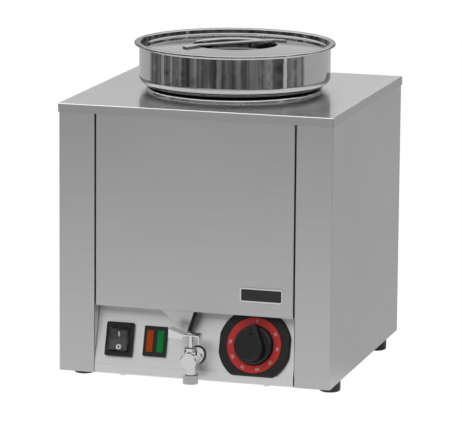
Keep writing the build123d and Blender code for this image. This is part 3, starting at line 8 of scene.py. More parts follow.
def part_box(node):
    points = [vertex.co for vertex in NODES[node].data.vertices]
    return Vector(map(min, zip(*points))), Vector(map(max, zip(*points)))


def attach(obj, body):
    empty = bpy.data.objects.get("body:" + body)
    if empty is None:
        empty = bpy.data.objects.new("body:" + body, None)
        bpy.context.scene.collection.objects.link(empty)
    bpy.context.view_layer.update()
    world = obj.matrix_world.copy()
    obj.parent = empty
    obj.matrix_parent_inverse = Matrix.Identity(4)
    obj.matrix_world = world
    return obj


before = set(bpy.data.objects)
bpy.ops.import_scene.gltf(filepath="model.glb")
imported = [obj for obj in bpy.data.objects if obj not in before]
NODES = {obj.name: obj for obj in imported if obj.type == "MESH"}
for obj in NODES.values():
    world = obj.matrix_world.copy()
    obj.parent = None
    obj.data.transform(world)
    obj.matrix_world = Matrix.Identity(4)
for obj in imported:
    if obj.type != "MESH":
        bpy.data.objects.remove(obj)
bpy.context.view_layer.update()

# Everything is in metres. X runs to the right, Y to the back, Z = 0 is the table.

# Camera, solved from the casing's edges and the pot's rim in the photograph
CAMERA_AZIMUTH = radians(16.25)
CAMERA_ELEVATION = radians(11.01)
CAMERA_ROLL = radians(0.46)
CAMERA_DISTANCE = 3.703
CAMERA_TARGET = Vector((-0.003, 0.0075, 0.1621))
FOCAL_PIXELS = 3503.0
IMAGE_WIDTH = 462
SENSOR_WIDTH = 36.0

# Places that the frame gives
casing_low, casing_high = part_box("top_cover")
CENTRE_Y = (casing_low.y + casing_high.y) / 2
DECK = casing_high.z


def link(tree, output, target):
    tree.links.new(output, target)


def add(tree, kind, **settings):
    """A shader node; settings name its properties, or its inputs where it has no such property."""
    made = tree.nodes.new(kind)
    for key, value in settings.items():
        if hasattr(made, key):
            setattr(made, key, value)
        else:
            made.inputs[key.replace("_", " ")].default_value = value
    return made


def math_node(tree, operation, first, second=None):
    """A maths node whose inputs are numbers or sockets."""
    made = tree.nodes.new("ShaderNodeMath")
    made.operation = operation
    for place, value in enumerate((first, second)):
        if value is None:
            continue
        if isinstance(value, (int, float)):
            made.inputs[place].default_value = value
        else:
            link(tree, value, made.inputs[place])
    return made.outputs[0]


def remap(tree, value, low, high, to_low, to_high, smooth=False):
    """The value taken from one range to another, held at its ends."""
    made = tree.nodes.new("ShaderNodeMapRange")
    made.interpolation_type = "SMOOTHSTEP" if smooth else "LINEAR"
    link(tree, value, made.inputs["Value"])
    for name, number in zip(("From Min", "From Max", "To Min", "To Max"), (low, high, to_low, to_high)):
        made.inputs[name].default_value = number
    return made.outputs["Result"]


def stretched_noise(tree, per_metre, detail=3.0, roughness=0.55, offset=0.0):
    """Noise in object space, with its own number of grains per metre along x, y and z."""
    place = tree.nodes.new("ShaderNodeTexCoord")
    mapping = add(tree, "ShaderNodeMapping")
    mapping.inputs["Scale"].default_value = per_metre
    mapping.inputs["Location"].default_value = (offset, offset, offset)
    link(tree, place.outputs["Object"], mapping.inputs["Vector"])
    noise = add(tree, "ShaderNodeTexNoise", Scale=1.0, Detail=detail, Roughness=roughness)
    link(tree, mapping.outputs["Vector"], noise.inputs["Vector"])
    return noise.outputs["Fac"]


def mixed(tree, factor, first, second):
    """A number between two others."""
    made = add(tree, "ShaderNodeMix", data_type="FLOAT")
    link(tree, factor, made.inputs["Factor"])
    for name, value in (("A", first), ("B", second)):
        if isinstance(value, (int, float)):
            made.inputs[name].default_value = value
        else:
            link(tree, value, made.inputs[name])
    return made.outputs["Result"]


def grey_from(tree, value):
    made = add(tree, "ShaderNodeCombineColor")
    for channel in range(3):
        link(tree, value, made.inputs[channel])
    return made.outputs[0]


def toned(tree, colour, tone):
    """The colour times a number."""
    mix = add(tree, "ShaderNodeMix", data_type="RGBA", blend_type="MULTIPLY")
    mix.inputs["Factor"].default_value = 1.0
    mix.inputs[6].default_value = (*colour, 1.0)
    link(tree, grey_from(tree, tone), mix.inputs[7])
    return mix.outputs[2]


def shade_by(tree, colour, value, low, high):
    """The colour made darker or lighter by a value that runs from 0 to 1."""
    return toned(tree, colour, remap(tree, value, 0.25, 0.75, low, high))


def height_above_table(tree):
    """The height of a point of the object, with the object at rest."""
    split = add(tree, "ShaderNodeSeparateXYZ")
    link(tree, tree.nodes.new("ShaderNodeTexCoord").outputs["Object"], split.inputs[0])
    return split.outputs["Z"]


def bump_from(tree, shader, value, height, distance=0.001):
    """A bump of the given strength on the shader's normal."""
    bump = add(tree, "ShaderNodeBump", Strength=height, Distance=distance)
    link(tree, value, bump.inputs["Height"])
    link(tree, bump.outputs["Normal"], shader.inputs["Normal"])


def new_material(name):
    material = bpy.data.materials.new(name)
    material.use_nodes = True
    return material, material.node_tree, material.node_tree.nodes["Principled BSDF"]


# Materials

# Scratches, stains and other textures, in grains per metre, most of them along x, y and z
ALONG_X = (18.0, 1500.0, 1500.0)
ALONG_LEVEL = (18.0, 18.0, 1500.0)
EVEN = (900.0, 900.0, 900.0)
PATCHES = (9.0, 9.0, 9.0)
SMEARS = (35.0, 35.0, 70.0)
HAIRLINES = (40.0, 40.0, 1400.0)
WAVES = (22.0, 22.0, 40.0)
CAST = (160.0, 160.0, 160.0)
PITS = (900.0, 900.0, 900.0)
MOULD_PATCHES = (60.0, 60.0, 60.0)
MOTTLE = (120.0, 120.0, 120.0)
HAZE = (300.0, 300.0, 300.0)
FIBRES = (700.0, 700.0, 160.0)
SPUN_RINGS = 1800.0
SPANGLES = 260.0
LENS_RIBS = 260.0

# Painted highlight and painted shade: how much brighter the deck's bends are painted, and how much darker its
# upright flanges
BEND_HIGHLIGHT = 1.5
FLANGE_SHADE = 0.78

# Painted shade: the pot is darkened in a band where it sits in the rim. The lid's recess is painted darker,
# a painted dark reflection; the tap's ferrule is darker and rougher
SEAT_SHADE_BAND = (DECK + 0.0005, DECK + 0.0068, DECK + 0.0100)
SEAT_SHADE = 0.09
LID_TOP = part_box("lid")[1].z
RECESS_R = 0.0448
RECESS_HEIGHTS = (LID_TOP - 0.0065, LID_TOP - 0.0028)
RECESS_DARK_REFLECTION = 0.34
FERRULE_TOP = (0.0222, 0.0230)

# How wide a sharp edge between two tones or levels is
STEP = 0.001

# How strongly the thin clear cover bends light
COVER_IOR = 1.25


def upward(tree):
    """How far the surface faces up: 1 on a level one, 0 on an upright one."""
    facing = add(tree, "ShaderNodeSeparateXYZ")
    link(tree, tree.nodes.new("ShaderNodeNewGeometry").outputs["Normal"], facing.inputs[0])
    return facing.outputs["Z"]


def brushed_steel(name, colour, roughness, grain, across=None, depth=0.03, shine=0.6, upright=None):
    """Satin sheet with long fine scratches; across is the direction that the scratches spread light in.

    Upright gives the roughness of a folded sheet's upright flanges; it also paints a highlight on the bends
    and a shade on the flanges.
    """
    material, tree, shader = new_material(name)
    scratches = stretched_noise(tree, grain, detail=4.0, roughness=0.7)
    clouds = stretched_noise(tree, PATCHES, detail=2.0, offset=3.0)
    shader.inputs["Metallic"].default_value = 1.0
    fine = remap(tree, scratches, 0.2, 0.8, roughness - 0.04, roughness + 0.04)
    wide = remap(tree, clouds, 0.3, 0.7, -0.015, 0.015)
    rough = math_node(tree, "ADD", fine, wide)
    tone = remap(tree, scratches, 0.25, 0.75, 0.94, 1.05)
    if upright is not None:
        facing = upward(tree)
        rough = mixed(tree, remap(tree, facing, 0.2, 0.9, 1.0, 0.0), rough, upright)
        past_flange = remap(tree, facing, 0.02, 0.3, 0.0, 1.0)
        before_top = remap(tree, facing, 0.8, 0.99, 1.0, 0.0)
        bend = math_node(tree, "MULTIPLY", past_flange, before_top)
        # Painted highlight on the bends and painted shade on the upright flanges
        tone = math_node(tree, "MULTIPLY", tone, remap(tree, bend, 0.0, 1.0, 1.0, BEND_HIGHLIGHT))
        tone = math_node(tree, "MULTIPLY", tone, remap(tree, facing, 0.02, 0.1, FLANGE_SHADE, 1.0))
    link(tree, toned(tree, colour, tone), shader.inputs["Base Color"])
    link(tree, rough, shader.inputs["Roughness"])
    bump_from(tree, shader, scratches, depth, 0.0004)
    if across is not None:
        shader.inputs["Anisotropic"].default_value = shine
        direction = add(tree, "ShaderNodeCombineXYZ", X=across[0], Y=across[1], Z=across[2])
        link(tree, direction.outputs[0], shader.inputs["Tangent"])
    return material


def dark_below(tree, low, high, darkest):
    """A tone that falls from 1 above the high height to its darkest below the low one."""
    return remap(tree, height_above_table(tree), low, high, darkest, 1.0, smooth=True)


def polished_steel(name, colour, roughness, marks=0.05, waviness=0.05, seat=None):
    """Mirror-like drawn steel with faint handling marks and a slight waviness.

    Seat gives three heights: the band between the first two gets a painted shade, which clears up to the
    third.
    """
    material, tree, shader = new_material(name)
    shader.inputs["Metallic"].default_value = 1.0
    smears = stretched_noise(tree, SMEARS, detail=5.0, roughness=0.65)
    lines = stretched_noise(tree, HAIRLINES, detail=2.0, offset=7.0)
    tone = remap(tree, smears, 0.25, 0.75, 0.95, 1.04)
    if seat is not None:
        # Painted shade on the pot where it sits in the rim
        above = remap(tree, height_above_table(tree), seat[0] - STEP, seat[0], 1.0, 0.0)
        seat_shade = math_node(tree, "MAXIMUM", above, dark_below(tree, seat[1], seat[2], SEAT_SHADE))
        tone = math_node(tree, "MULTIPLY", tone, seat_shade)
    link(tree, toned(tree, colour, tone), shader.inputs["Base Color"])
    worn = remap(tree, smears, 0.35, 0.7, roughness, roughness + marks)
    hair = remap(tree, lines, 0.3, 0.7, -marks / 5, marks / 5)
    link(tree, math_node(tree, "ADD", worn, hair), shader.inputs["Roughness"])
    waves = stretched_noise(tree, WAVES, detail=1.0, offset=1.5)
    bump_from(tree, shader, waves, waviness, 0.002)
    return material


def spun_steel(name, colour, roughness, shine=0.75):
    """Satin steel spun on a lathe: the scratches run round, so light spreads towards the middle.

    The pressed recess in its middle is painted darker, a painted dark reflection.
    """
    material, tree, shader = new_material(name)
    shader.inputs["Metallic"].default_value = 1.0
    shader.inputs["Anisotropic"].default_value = shine
    shader.inputs["Anisotropic Rotation"].default_value = 0.25
    tangent = add(tree, "ShaderNodeTangent", direction_type="RADIAL", axis="Z")
    link(tree, tangent.outputs[0], shader.inputs["Tangent"])
    place = tree.nodes.new("ShaderNodeTexCoord")
    centred = add(tree, "ShaderNodeVectorMath", operation="SUBTRACT")
    centred.inputs[1].default_value = (0.0, CENTRE_Y, 0.0)
    link(tree, place.outputs["Object"], centred.inputs[0])
    flat = add(tree, "ShaderNodeVectorMath", operation="MULTIPLY")
    flat.inputs[1].default_value = (1.0, 1.0, 0.0)
    link(tree, centred.outputs[0], flat.inputs[0])
    radius = add(tree, "ShaderNodeVectorMath", operation="LENGTH")
    link(tree, flat.outputs[0], radius.inputs[0])
    rings = add(tree, "ShaderNodeTexNoise", noise_dimensions="1D", Scale=SPUN_RINGS, Detail=4.0,
                Roughness=0.7)
    link(tree, radius.outputs["Value"], rings.inputs["W"])
    tone = remap(tree, rings.outputs["Fac"], 0.25, 0.75, 0.95, 1.05)
    # Painted dark reflection in the lid's recess
    outside = remap(tree, radius.outputs["Value"], RECESS_R - STEP, RECESS_R, 0.0, 1.0)
    recess = math_node(tree, "MAXIMUM", outside, dark_below(tree, *RECESS_HEIGHTS, RECESS_DARK_REFLECTION))
    tone = math_node(tree, "MULTIPLY", tone, recess)
    link(tree, toned(tree, colour, tone), shader.inputs["Base Color"])
    rough = remap(tree, rings.outputs["Fac"], 0.2, 0.8, roughness - 0.04, roughness + 0.05)
    link(tree, rough, shader.inputs["Roughness"])
    bump_from(tree, shader, rings.outputs["Fac"], 0.04, 0.0003)
    return material


def chrome(name, colour, roughness=0.05, waviness=0.12, ferrule=1.0):
    """Bright plating over a cast or stamped surface that isn't quite even; the low ferrule can be duller."""
    material, tree, shader = new_material(name)
    shader.inputs["Metallic"].default_value = 1.0
    cast = stretched_noise(tree, CAST, detail=2.0)
    pits = stretched_noise(tree, PITS, detail=3.0, offset=5.0)
    height = dark_below(tree, *FERRULE_TOP, ferrule)
    worn = math_node(tree, "MULTIPLY", remap(tree, pits, 0.25, 0.75, 0.95, 1.02), height)
    link(tree, toned(tree, colour, worn), shader.inputs["Base Color"])
    fine = remap(tree, pits, 0.3, 0.7, roughness, roughness + 0.06)
    dull = remap(tree, height, ferrule - STEP, 1.0, (1.0 - ferrule) * 0.7, 0.0)
    link(tree, math_node(tree, "ADD", fine, dull), shader.inputs["Roughness"])
    bump_from(tree, shader, cast, waviness, 0.0008)
    return material


def moulded(name, colour, roughness, texture=0.06, grain=1600.0, gloss=0.5, sheen=0.0):
    """Moulded plastic or rubber with a fine eroded surface."""
    material, tree, shader = new_material(name)
    fine = stretched_noise(tree, (grain, grain, grain), detail=3.0)
    broad = stretched_noise(tree, MOULD_PATCHES, detail=3.0, offset=2.0)
    link(tree, shade_by(tree, colour, fine, 0.88, 1.12), shader.inputs["Base Color"])
    link(tree, remap(tree, broad, 0.3, 0.7, roughness - 0.05, roughness + 0.06), shader.inputs["Roughness"])
    shader.inputs["Specular IOR Level"].default_value = gloss
    shader.inputs["Sheen Weight"].default_value = sheen
    bump_from(tree, shader, fine, texture, 0.0003)
    return material


def plain_metal(name, colour, roughness, mottle=0.12):
    """Unpolished metal of hidden or small parts, a little mottled."""
    material, tree, shader = new_material(name)
    shader.inputs["Metallic"].default_value = 1.0
    spangle = add(tree, "ShaderNodeTexVoronoi", Scale=SPANGLES)
    place = tree.nodes.new("ShaderNodeTexCoord")
    link(tree, place.outputs["Object"], spangle.inputs["Vector"])
    cloud = stretched_noise(tree, MOTTLE, detail=4.0)
    link(tree, shade_by(tree, colour, spangle.outputs["Distance"], 1 - mottle, 1 + mottle / 2),
         shader.inputs["Base Color"])
    link(tree, remap(tree, cloud, 0.3, 0.7, roughness - 0.06, roughness + 0.08), shader.inputs["Roughness"])
    bump_from(tree, shader, cloud, 0.05, 0.0004)
    return material


def lens(name, colour, glow):
    """Ribbed coloured pilot lens."""
    material, tree, shader = new_material(name)
    ribs = add(tree, "ShaderNodeTexWave", wave_type="BANDS", bands_direction="Z", Scale=LENS_RIBS, Detail=0.0)
    place = tree.nodes.new("ShaderNodeTexCoord")
    link(tree, place.outputs["Object"], ribs.inputs["Vector"])
    link(tree, shade_by(tree, colour, ribs.outputs["Fac"], 0.9, 1.12), shader.inputs["Base Color"])
    shader.inputs["Roughness"].default_value = 0.22
    shader.inputs["Specular IOR Level"].default_value = 0.12
    shader.inputs["Subsurface Weight"].default_value = 0.15
    shader.inputs["Subsurface Radius"].default_value = (0.002, 0.002, 0.002)
    shader.inputs["Emission Color"].default_value = (*colour, 1.0)
    shader.inputs["Emission Strength"].default_value = glow
    bump_from(tree, shader, ribs.outputs["Fac"], 0.25, 0.0003)
    return material


def clear_plastic(name, tint):
    """Clear flexible cover, a little cloudy."""
    material, tree, shader = new_material(name)
    cloud = stretched_noise(tree, HAZE, detail=3.0)
    link(tree, shade_by(tree, tint, cloud, 0.94, 1.04), shader.inputs["Base Color"])
    shader.inputs["Transmission Weight"].default_value = 1.0
    shader.inputs["IOR"].default_value = COVER_IOR
    link(tree, remap(tree, cloud, 0.3, 0.7, 0.0, 0.05), shader.inputs["Roughness"])
    return material


def wool(name, colour):
    """Mineral wool: matt, fibrous and uneven."""
    material, tree, shader = new_material(name)
    fibres = stretched_noise(tree, FIBRES, detail=6.0, roughness=0.8)
    link(tree, shade_by(tree, colour, fibres, 0.75, 1.1), shader.inputs["Base Color"])
    shader.inputs["Roughness"].default_value = 0.95
    bump_from(tree, shader, fibres, 0.6, 0.002)
    return material


MATERIALS = {
    # The deck's bends get a painted highlight and its upright flanges a painted shade
    "deck": brushed_steel("deck_steel", (0.62, 0.62, 0.623), 0.18, ALONG_X, across=(0, 1, 1), shine=0.8,
                          upright=0.36),
    "front": brushed_steel("front_steel", (0.555, 0.555, 0.558), 0.38, ALONG_X, across=(0, 0, 1)),
    "sides": brushed_steel("side_steel", (0.56, 0.56, 0.563), 0.38, ALONG_LEVEL, across=(0, 0, 1)),
    "panel": brushed_steel("panel_steel", (0.71, 0.71, 0.712), 0.40, ALONG_X, across=(0, 0, 1), shine=0.4),
    "inner": plain_metal("inner_steel", (0.50, 0.50, 0.505), 0.42),
    "well": polished_steel("well_steel", (0.74, 0.74, 0.745), 0.12, marks=0.05, waviness=0.02),
    # The pot gets a painted shade band where it sits in the rim
    "pot": polished_steel("pot_steel", (0.54, 0.54, 0.54), 0.04, marks=0.03, waviness=0.10, seat=SEAT_SHADE_BAND),
    # The lid's recess is painted darker, a painted dark reflection
    "lid": spun_steel("lid_steel", (0.38, 0.38, 0.383), 0.08, shine=0.3),
    "strap": brushed_steel("strap_steel", (0.55, 0.55, 0.553), 0.30, EVEN),
    "rubber": moulded("foot_rubber", (0.018, 0.018, 0.018), 0.62, texture=0.25, sheen=0.2),
    "switch": moulded("switch_plastic", (0.010, 0.010, 0.011), 0.50, gloss=0.3),
    "rocker": moulded("rocker_plastic", (0.012, 0.012, 0.013), 0.30, texture=0.02, gloss=0.4),
    "cover": clear_plastic("cover_plastic", (0.95, 0.95, 0.96)),
    "orange": lens("orange_lens", (0.30, 0.044, 0.002), 0.03),
    "green": lens("green_lens", (0.001, 0.16, 0.035), 0.03),
    "bezel": moulded("bezel_plastic", (0.006, 0.006, 0.006), 0.42, gloss=0.36),
    "red": moulded("dial_print", (0.46, 0.013, 0.012), 0.50, texture=0.03),
    "knob": moulded("knob_plastic", (0.006, 0.006, 0.007), 0.36, texture=0.05, gloss=0.34),
    "print": moulded("white_print", (0.50, 0.46, 0.46), 0.5, texture=0.02),
    "mark": moulded("rocker_print", (0.86, 0.86, 0.86), 0.5, texture=0.02),
    # Matt black for the strip along the guard's right edge
    "black_strip": moulded("matt_black_strip", (0.004, 0.004, 0.004), 0.85, texture=0.1),
    "ink": moulded("knob_ink", (0.001, 0.001, 0.001), 0.90, texture=0.0, gloss=0.0),
    "chrome": chrome("tap_chrome", (0.64, 0.64, 0.645), ferrule=0.68),
    "lever": chrome("lever_chrome", (0.66, 0.66, 0.665), roughness=0.10, waviness=0.06),
    "badge": chrome("badge_metal", (0.60, 0.60, 0.605), roughness=0.12, waviness=0.02),
    "field": moulded("badge_field", (0.005, 0.005, 0.005), 0.30, texture=0.01),
    "zinc": plain_metal("zinc_steel", (0.60, 0.60, 0.58), 0.32),
    "sheath": plain_metal("element_sheath", (0.27, 0.26, 0.25), 0.48),
    "aluminium": plain_metal("heater_aluminium", (0.66, 0.66, 0.67), 0.40),
    "wool": wool("mineral_wool", (0.78, 0.76, 0.68)),
    "copper": plain_metal("copper_tube", (0.75, 0.42, 0.28), 0.28),
    "pale": moulded("pale_plastic", (0.70, 0.67, 0.58), 0.45),
    "hose": moulded("hose_silicone", (0.62, 0.60, 0.56), 0.40, texture=0.03),
    "brass": plain_metal("brass", (0.72, 0.56, 0.28), 0.26),
}

NODE_MATERIALS = {
    "deck": ["top_cover"],
    "front": ["front_panel", "tap_guard"],
    "sides": ["left_side_panel", "right_side_panel"],
    "panel": ["control_panel"],
    "inner": ["base_plate", "rear_panel", "well_clamp_ring", "bulb_clip"],
    "well": ["well"],
    "pot": ["pot"],
    "lid": ["lid"],
    "strap": ["lid_handle"],
    "rubber": ["foot_front_left", "foot_front_right", "foot_rear_left", "foot_rear_right", "tap_gasket"],
    "black_strip": ["guard_strip"],
    "switch": ["switch_housing", "switch_guard", "lamp_housing", "cable_gland", "gland_nut"],
    "rocker": ["switch_rocker"],
    "cover": ["switch_cover"],
    "orange": ["orange_lens"],
    "green": ["green_lens"],
    "bezel": ["thermostat_bezel"],
    "red": ["dial_ring"],
    "knob": ["knob"],
    "chrome": ["tap_body", "tap_gland_nut", "tap_plug"],
    "lever": ["tap_lever", "lever_nut"],
    "badge": ["badge_plate"],
    "field": ["badge_inlay"],
    "zinc": ["foot_studs", "rear_screws", "bottom_screws", "plate_studs", "thermostat_screws", "spindle",
             "hose_clamps"],
    "sheath": ["heating_element"],
    "aluminium": ["heater_plate"],
    "wool": ["insulation_blanket"],
    "copper": ["sensor_bulb", "capillary"],
    "pale": ["safety_thermostat", "thermostat_body", "terminal_block"],
    "hose": ["drain_hose"],
    "brass": ["tap_lock_nut", "earth_stud"],
}
for key, names in NODE_MATERIALS.items():
    for name in names:
        NODES[name].data.materials.clear()
        NODES[name].data.materials.append(MATERIALS[key])


# Dial numbers and switch marks

# The sloping control panel: its length up the slope, how far its top lies behind its foot, and where its
# foot is, forward of the middle and above the table
PANEL_LENGTH = 0.0644
PANEL_DEPTH = 0.0191
PANEL_FRONT = 0.145
PANEL_FOOT = 0.022
SLOPE = asin(PANEL_DEPTH / PANEL_LENGTH)
PANEL_NORMAL = Vector((0, -cos(SLOPE), sin(SLOPE)))
PANEL_UP = Vector((0, sin(SLOPE), cos(SLOPE)))


def box_middle(name):
    low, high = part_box(name)
    return (low + high) / 2


def on_panel(origin, x, up, proud):
    """A point on a plane parallel to the control panel, from an origin on it."""
    return origin + Vector((x, 0, 0)) + PANEL_UP * up + PANEL_NORMAL * proud


def panel_matrix(origin, turn=0.0):
    """Axes lying on the panel: x to the right, y up the slope, z out of it, turned about z."""
    base = Matrix((Vector((1, 0, 0)), PANEL_UP, PANEL_NORMAL)).transposed().to_4x4()
    return Matrix.Translation(origin) @ base @ Matrix.Rotation(turn, 4, "Z")


def face_top(name):
    """How far a node reaches out along the panel's normal."""
    return max((Vector(v.co) @ PANEL_NORMAL) for v in NODES[name].data.vertices)


def lettering(name, text, size, matrix, material, body, raised=0.00008, weight=0.0):
    """Flat text as a mesh, centred on its place; weight thickens its strokes."""
    curve = bpy.data.curves.new(name, "FONT")
    curve.body = text
    curve.size = size
    curve.align_x = "CENTER"
    curve.align_y = "CENTER"
    curve.extrude = raised
    curve.offset = weight
    made = bpy.data.objects.new(name + "_curve", curve)
    bpy.context.scene.collection.objects.link(made)
    mesh = bpy.data.meshes.new_from_object(made)
    bpy.data.objects.remove(made)
    mesh.transform(matrix)
    piece = bpy.data.objects.new(name, mesh)
    bpy.context.scene.collection.objects.link(piece)
    mesh.materials.clear()
    mesh.materials.append(MATERIALS[material])
    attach(piece, body)
    return piece


# Where the dial ring is, how far out its numbers stand and how many degrees apart
RING_MIDDLE = box_middle("dial_ring")
DIAL_RADIUS = 0.0249
DIAL_SIZE = 0.0042
ZERO_MARK = 3.0
FIRST_MARK = 59.0
MARK_STEP = 36.0
FIRST_DEGREES = 30
DEGREE_STEP = 10
DEGREE_MARKS = 7


def dial_number(text, angle):
    """One number on the red ring, its top pointing outwards; angle in degrees clockwise from the top."""
    turn = radians(angle)
    centre = on_panel(RING_MIDDLE, DIAL_RADIUS * sin(turn), DIAL_RADIUS * cos(turn), 0.0)
    centre += PANEL_NORMAL * (face_top("dial_ring") - centre @ PANEL_NORMAL)
    matrix = panel_matrix(centre, -turn)
    lettering(f"dial_number_{text}", text, DIAL_SIZE, matrix, "print", "casing")


dial_number("0", ZERO_MARK)
for step in range(DEGREE_MARKS):
    dial_number(str(FIRST_DEGREES + DEGREE_STEP * step), FIRST_MARK + MARK_STEP * step)

# The rocker's two marks, each on its own half of the hollow face
PANEL_ORIGIN = Vector((0, CENTRE_Y - PANEL_FRONT, PANEL_FOOT))
ROCKER_AT = (-0.08105, 0.0263)
ROCKER_DOWN = -0.001
ROCKER_TILT = radians(8.0)
ROCKER_MIDDLE = 0.0045
ROCKER_END = (0.0102, 0.0065)
ON_MARK_UP = 0.0058
OFF_MARK_UP = -0.0076
MARK_SIZE = 0.0064
MARK_WEIGHT = 0.00022


def rocker_mark(name, text, place):
    """A mark on the rocker's upper half, or on its lower one where the place is negative."""
    side = 1 if place > 0 else -1
    up = PANEL_UP * cos(ROCKER_TILT) + PANEL_NORMAL * sin(ROCKER_TILT)
    out = PANEL_NORMAL * cos(ROCKER_TILT) - PANEL_UP * sin(ROCKER_TILT)
    rise = (ROCKER_END[1] - ROCKER_MIDDLE) / ROCKER_END[0]
    along = (up + out * rise * side).normalized()
    normal = (out - up * rise * side).normalized()
    pivot = on_panel(PANEL_ORIGIN, *ROCKER_AT, ROCKER_DOWN)
    centre = pivot + up * place + out * (ROCKER_MIDDLE + rise * abs(place))
    turn = Matrix((Vector((1, 0, 0)), along, normal)).transposed().to_4x4()
    lettering(name, text, MARK_SIZE, Matrix.Translation(centre) @ turn, "mark", "rocker",
              weight=MARK_WEIGHT)


rocker_mark("rocker_on_mark", "I", ON_MARK_UP)
rocker_mark("rocker_off_mark", "O", OFF_MARK_UP)

# The knob's pointer: a thin line and a dot near the top of its grip
KNOB_FACE = face_top("knob")
KNOB_LINE = (0.0005, 0.0046)
KNOB_LINE_UP = 0.0155
KNOB_DOT_R = 0.0010
KNOB_DOT_UP = 0.0105
INK_T = 0.00012


def on_knob(up):
    centre = on_panel(RING_MIDDLE, 0.0, up, 0.0)
    return centre + PANEL_NORMAL * (KNOB_FACE - centre @ PANEL_NORMAL)


def thin_mark(name, shape, up):
    """A printed mark on the knob, from a bmesh maker that draws it flat round the origin."""
    mesh = bpy.data.meshes.new(name)
    made = bmesh.new()
    shape(made)
    faces = bmesh.ops.extrude_face_region(made, geom=made.faces[:])
    raised = [item for item in faces["geom"] if isinstance(item, bmesh.types.BMVert)]
    bmesh.ops.translate(made, verts=raised, vec=(0, 0, INK_T))
    bmesh.ops.transform(made, matrix=panel_matrix(on_knob(up)), verts=made.verts)
    bmesh.ops.recalc_face_normals(made, faces=made.faces)
    made.to_mesh(mesh)
    made.free()
    piece = bpy.data.objects.new(name, mesh)
    bpy.context.scene.collection.objects.link(piece)
    mesh.materials.append(MATERIALS["ink"])
    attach(piece, "knob")


def pointer_line(made):
    size = Matrix.Diagonal((KNOB_LINE[0], KNOB_LINE[1], 1.0, 1.0))
    bmesh.ops.create_grid(made, x_segments=1, y_segments=1, size=0.5, matrix=size)


def pointer_dot(made):
    bmesh.ops.create_circle(made, cap_ends=True, radius=KNOB_DOT_R, segments=24)


thin_mark("knob_line", pointer_line, KNOB_LINE_UP)
thin_mark("knob_dot", pointer_dot, KNOB_DOT_UP)


# Light, floor and camera

def area_light(name, place, aim, width, height, watts):
    """A soft light that the metal doesn't mirror; the metal sees the room made in the world instead."""
    light = bpy.data.lights.new(name, "AREA")
    light.shape = "RECTANGLE"
    light.size = width
    light.size_y = height
    light.energy = watts
    made = bpy.data.objects.new(name, light)
    bpy.context.scene.collection.objects.link(made)
    made.location = place
    made.rotation_euler = (Vector(aim) - Vector(place)).to_track_quat("-Z", "Y").to_euler()
    made.visible_glossy = False
    return made


LIGHT_AIM = (0.0, 0.0, 0.15)
FILL = 0.55
area_light("overhead", (-0.2, -0.2, 1.9), LIGHT_AIM, 1.6, 1.2, 14.0)
area_light("key_left", (-1.5, -1.4, 1.2), LIGHT_AIM, 0.9, 0.9, 14.0)

# What the metal mirrors: a pale paper roll behind, dimmer on both its sides, a dark room in front, and a
# bright ceiling over them all
BACKDROP = 0.77
ROLL_EDGE = (radians(4.4), radians(6.4))
BESIDE_DARK = 0.06
BESIDE_PALE = 0.34
CEILING = 1.5
CEILING_FROM = (0.36, 0.44)
ROOM_EDGE = (-0.30, -0.25)
ROOM_DARK = 0.02
ROOM_PALE = 0.27
CLUTTER = (3.6, 3.6, 2.2)
SHELVES = (8.0, 8.0, 70.0)
CLUTTER_IN_ROOM = (0.36, 0.66)
CLUTTER_BEHIND = (0.40, 0.60)
SHELF_TONES = (0.45, 1.75)
TABLE_R = 8.0
TABLE_FRONT = 0.90
TABLE_BACK = 0.58
TABLE_BRIGHTENS = (-0.2, 0.6)
TABLE_END = (1.05, 1.45)
BAND_TOP = (0.14, 0.155)
BAND_DARK = 0.05
BAND_PALE = 0.45

# Upright bright strips in the room: degrees from the front, half the width in degrees, and brightness
ROOM_STRIPS = ((79.0, 2.0, 0.55), (-81.0, 2.5, 0.30), (-66.0, 1.2, 0.25))
STRIP_EDGE = (0.0004, 0.0002)


def level_direction(tree, vector):
    """The level part of a direction: its x and y at unit length, and its own height."""
    split = add(tree, "ShaderNodeSeparateXYZ")
    link(tree, vector, split.inputs[0])
    x, y, z = split.outputs
    squares = math_node(tree, "ADD", math_node(tree, "MULTIPLY", x, x), math_node(tree, "MULTIPLY", y, y))
    length = math_node(tree, "SQRT", squares)
    return math_node(tree, "DIVIDE", x, length), math_node(tree, "DIVIDE", y, length), z, length


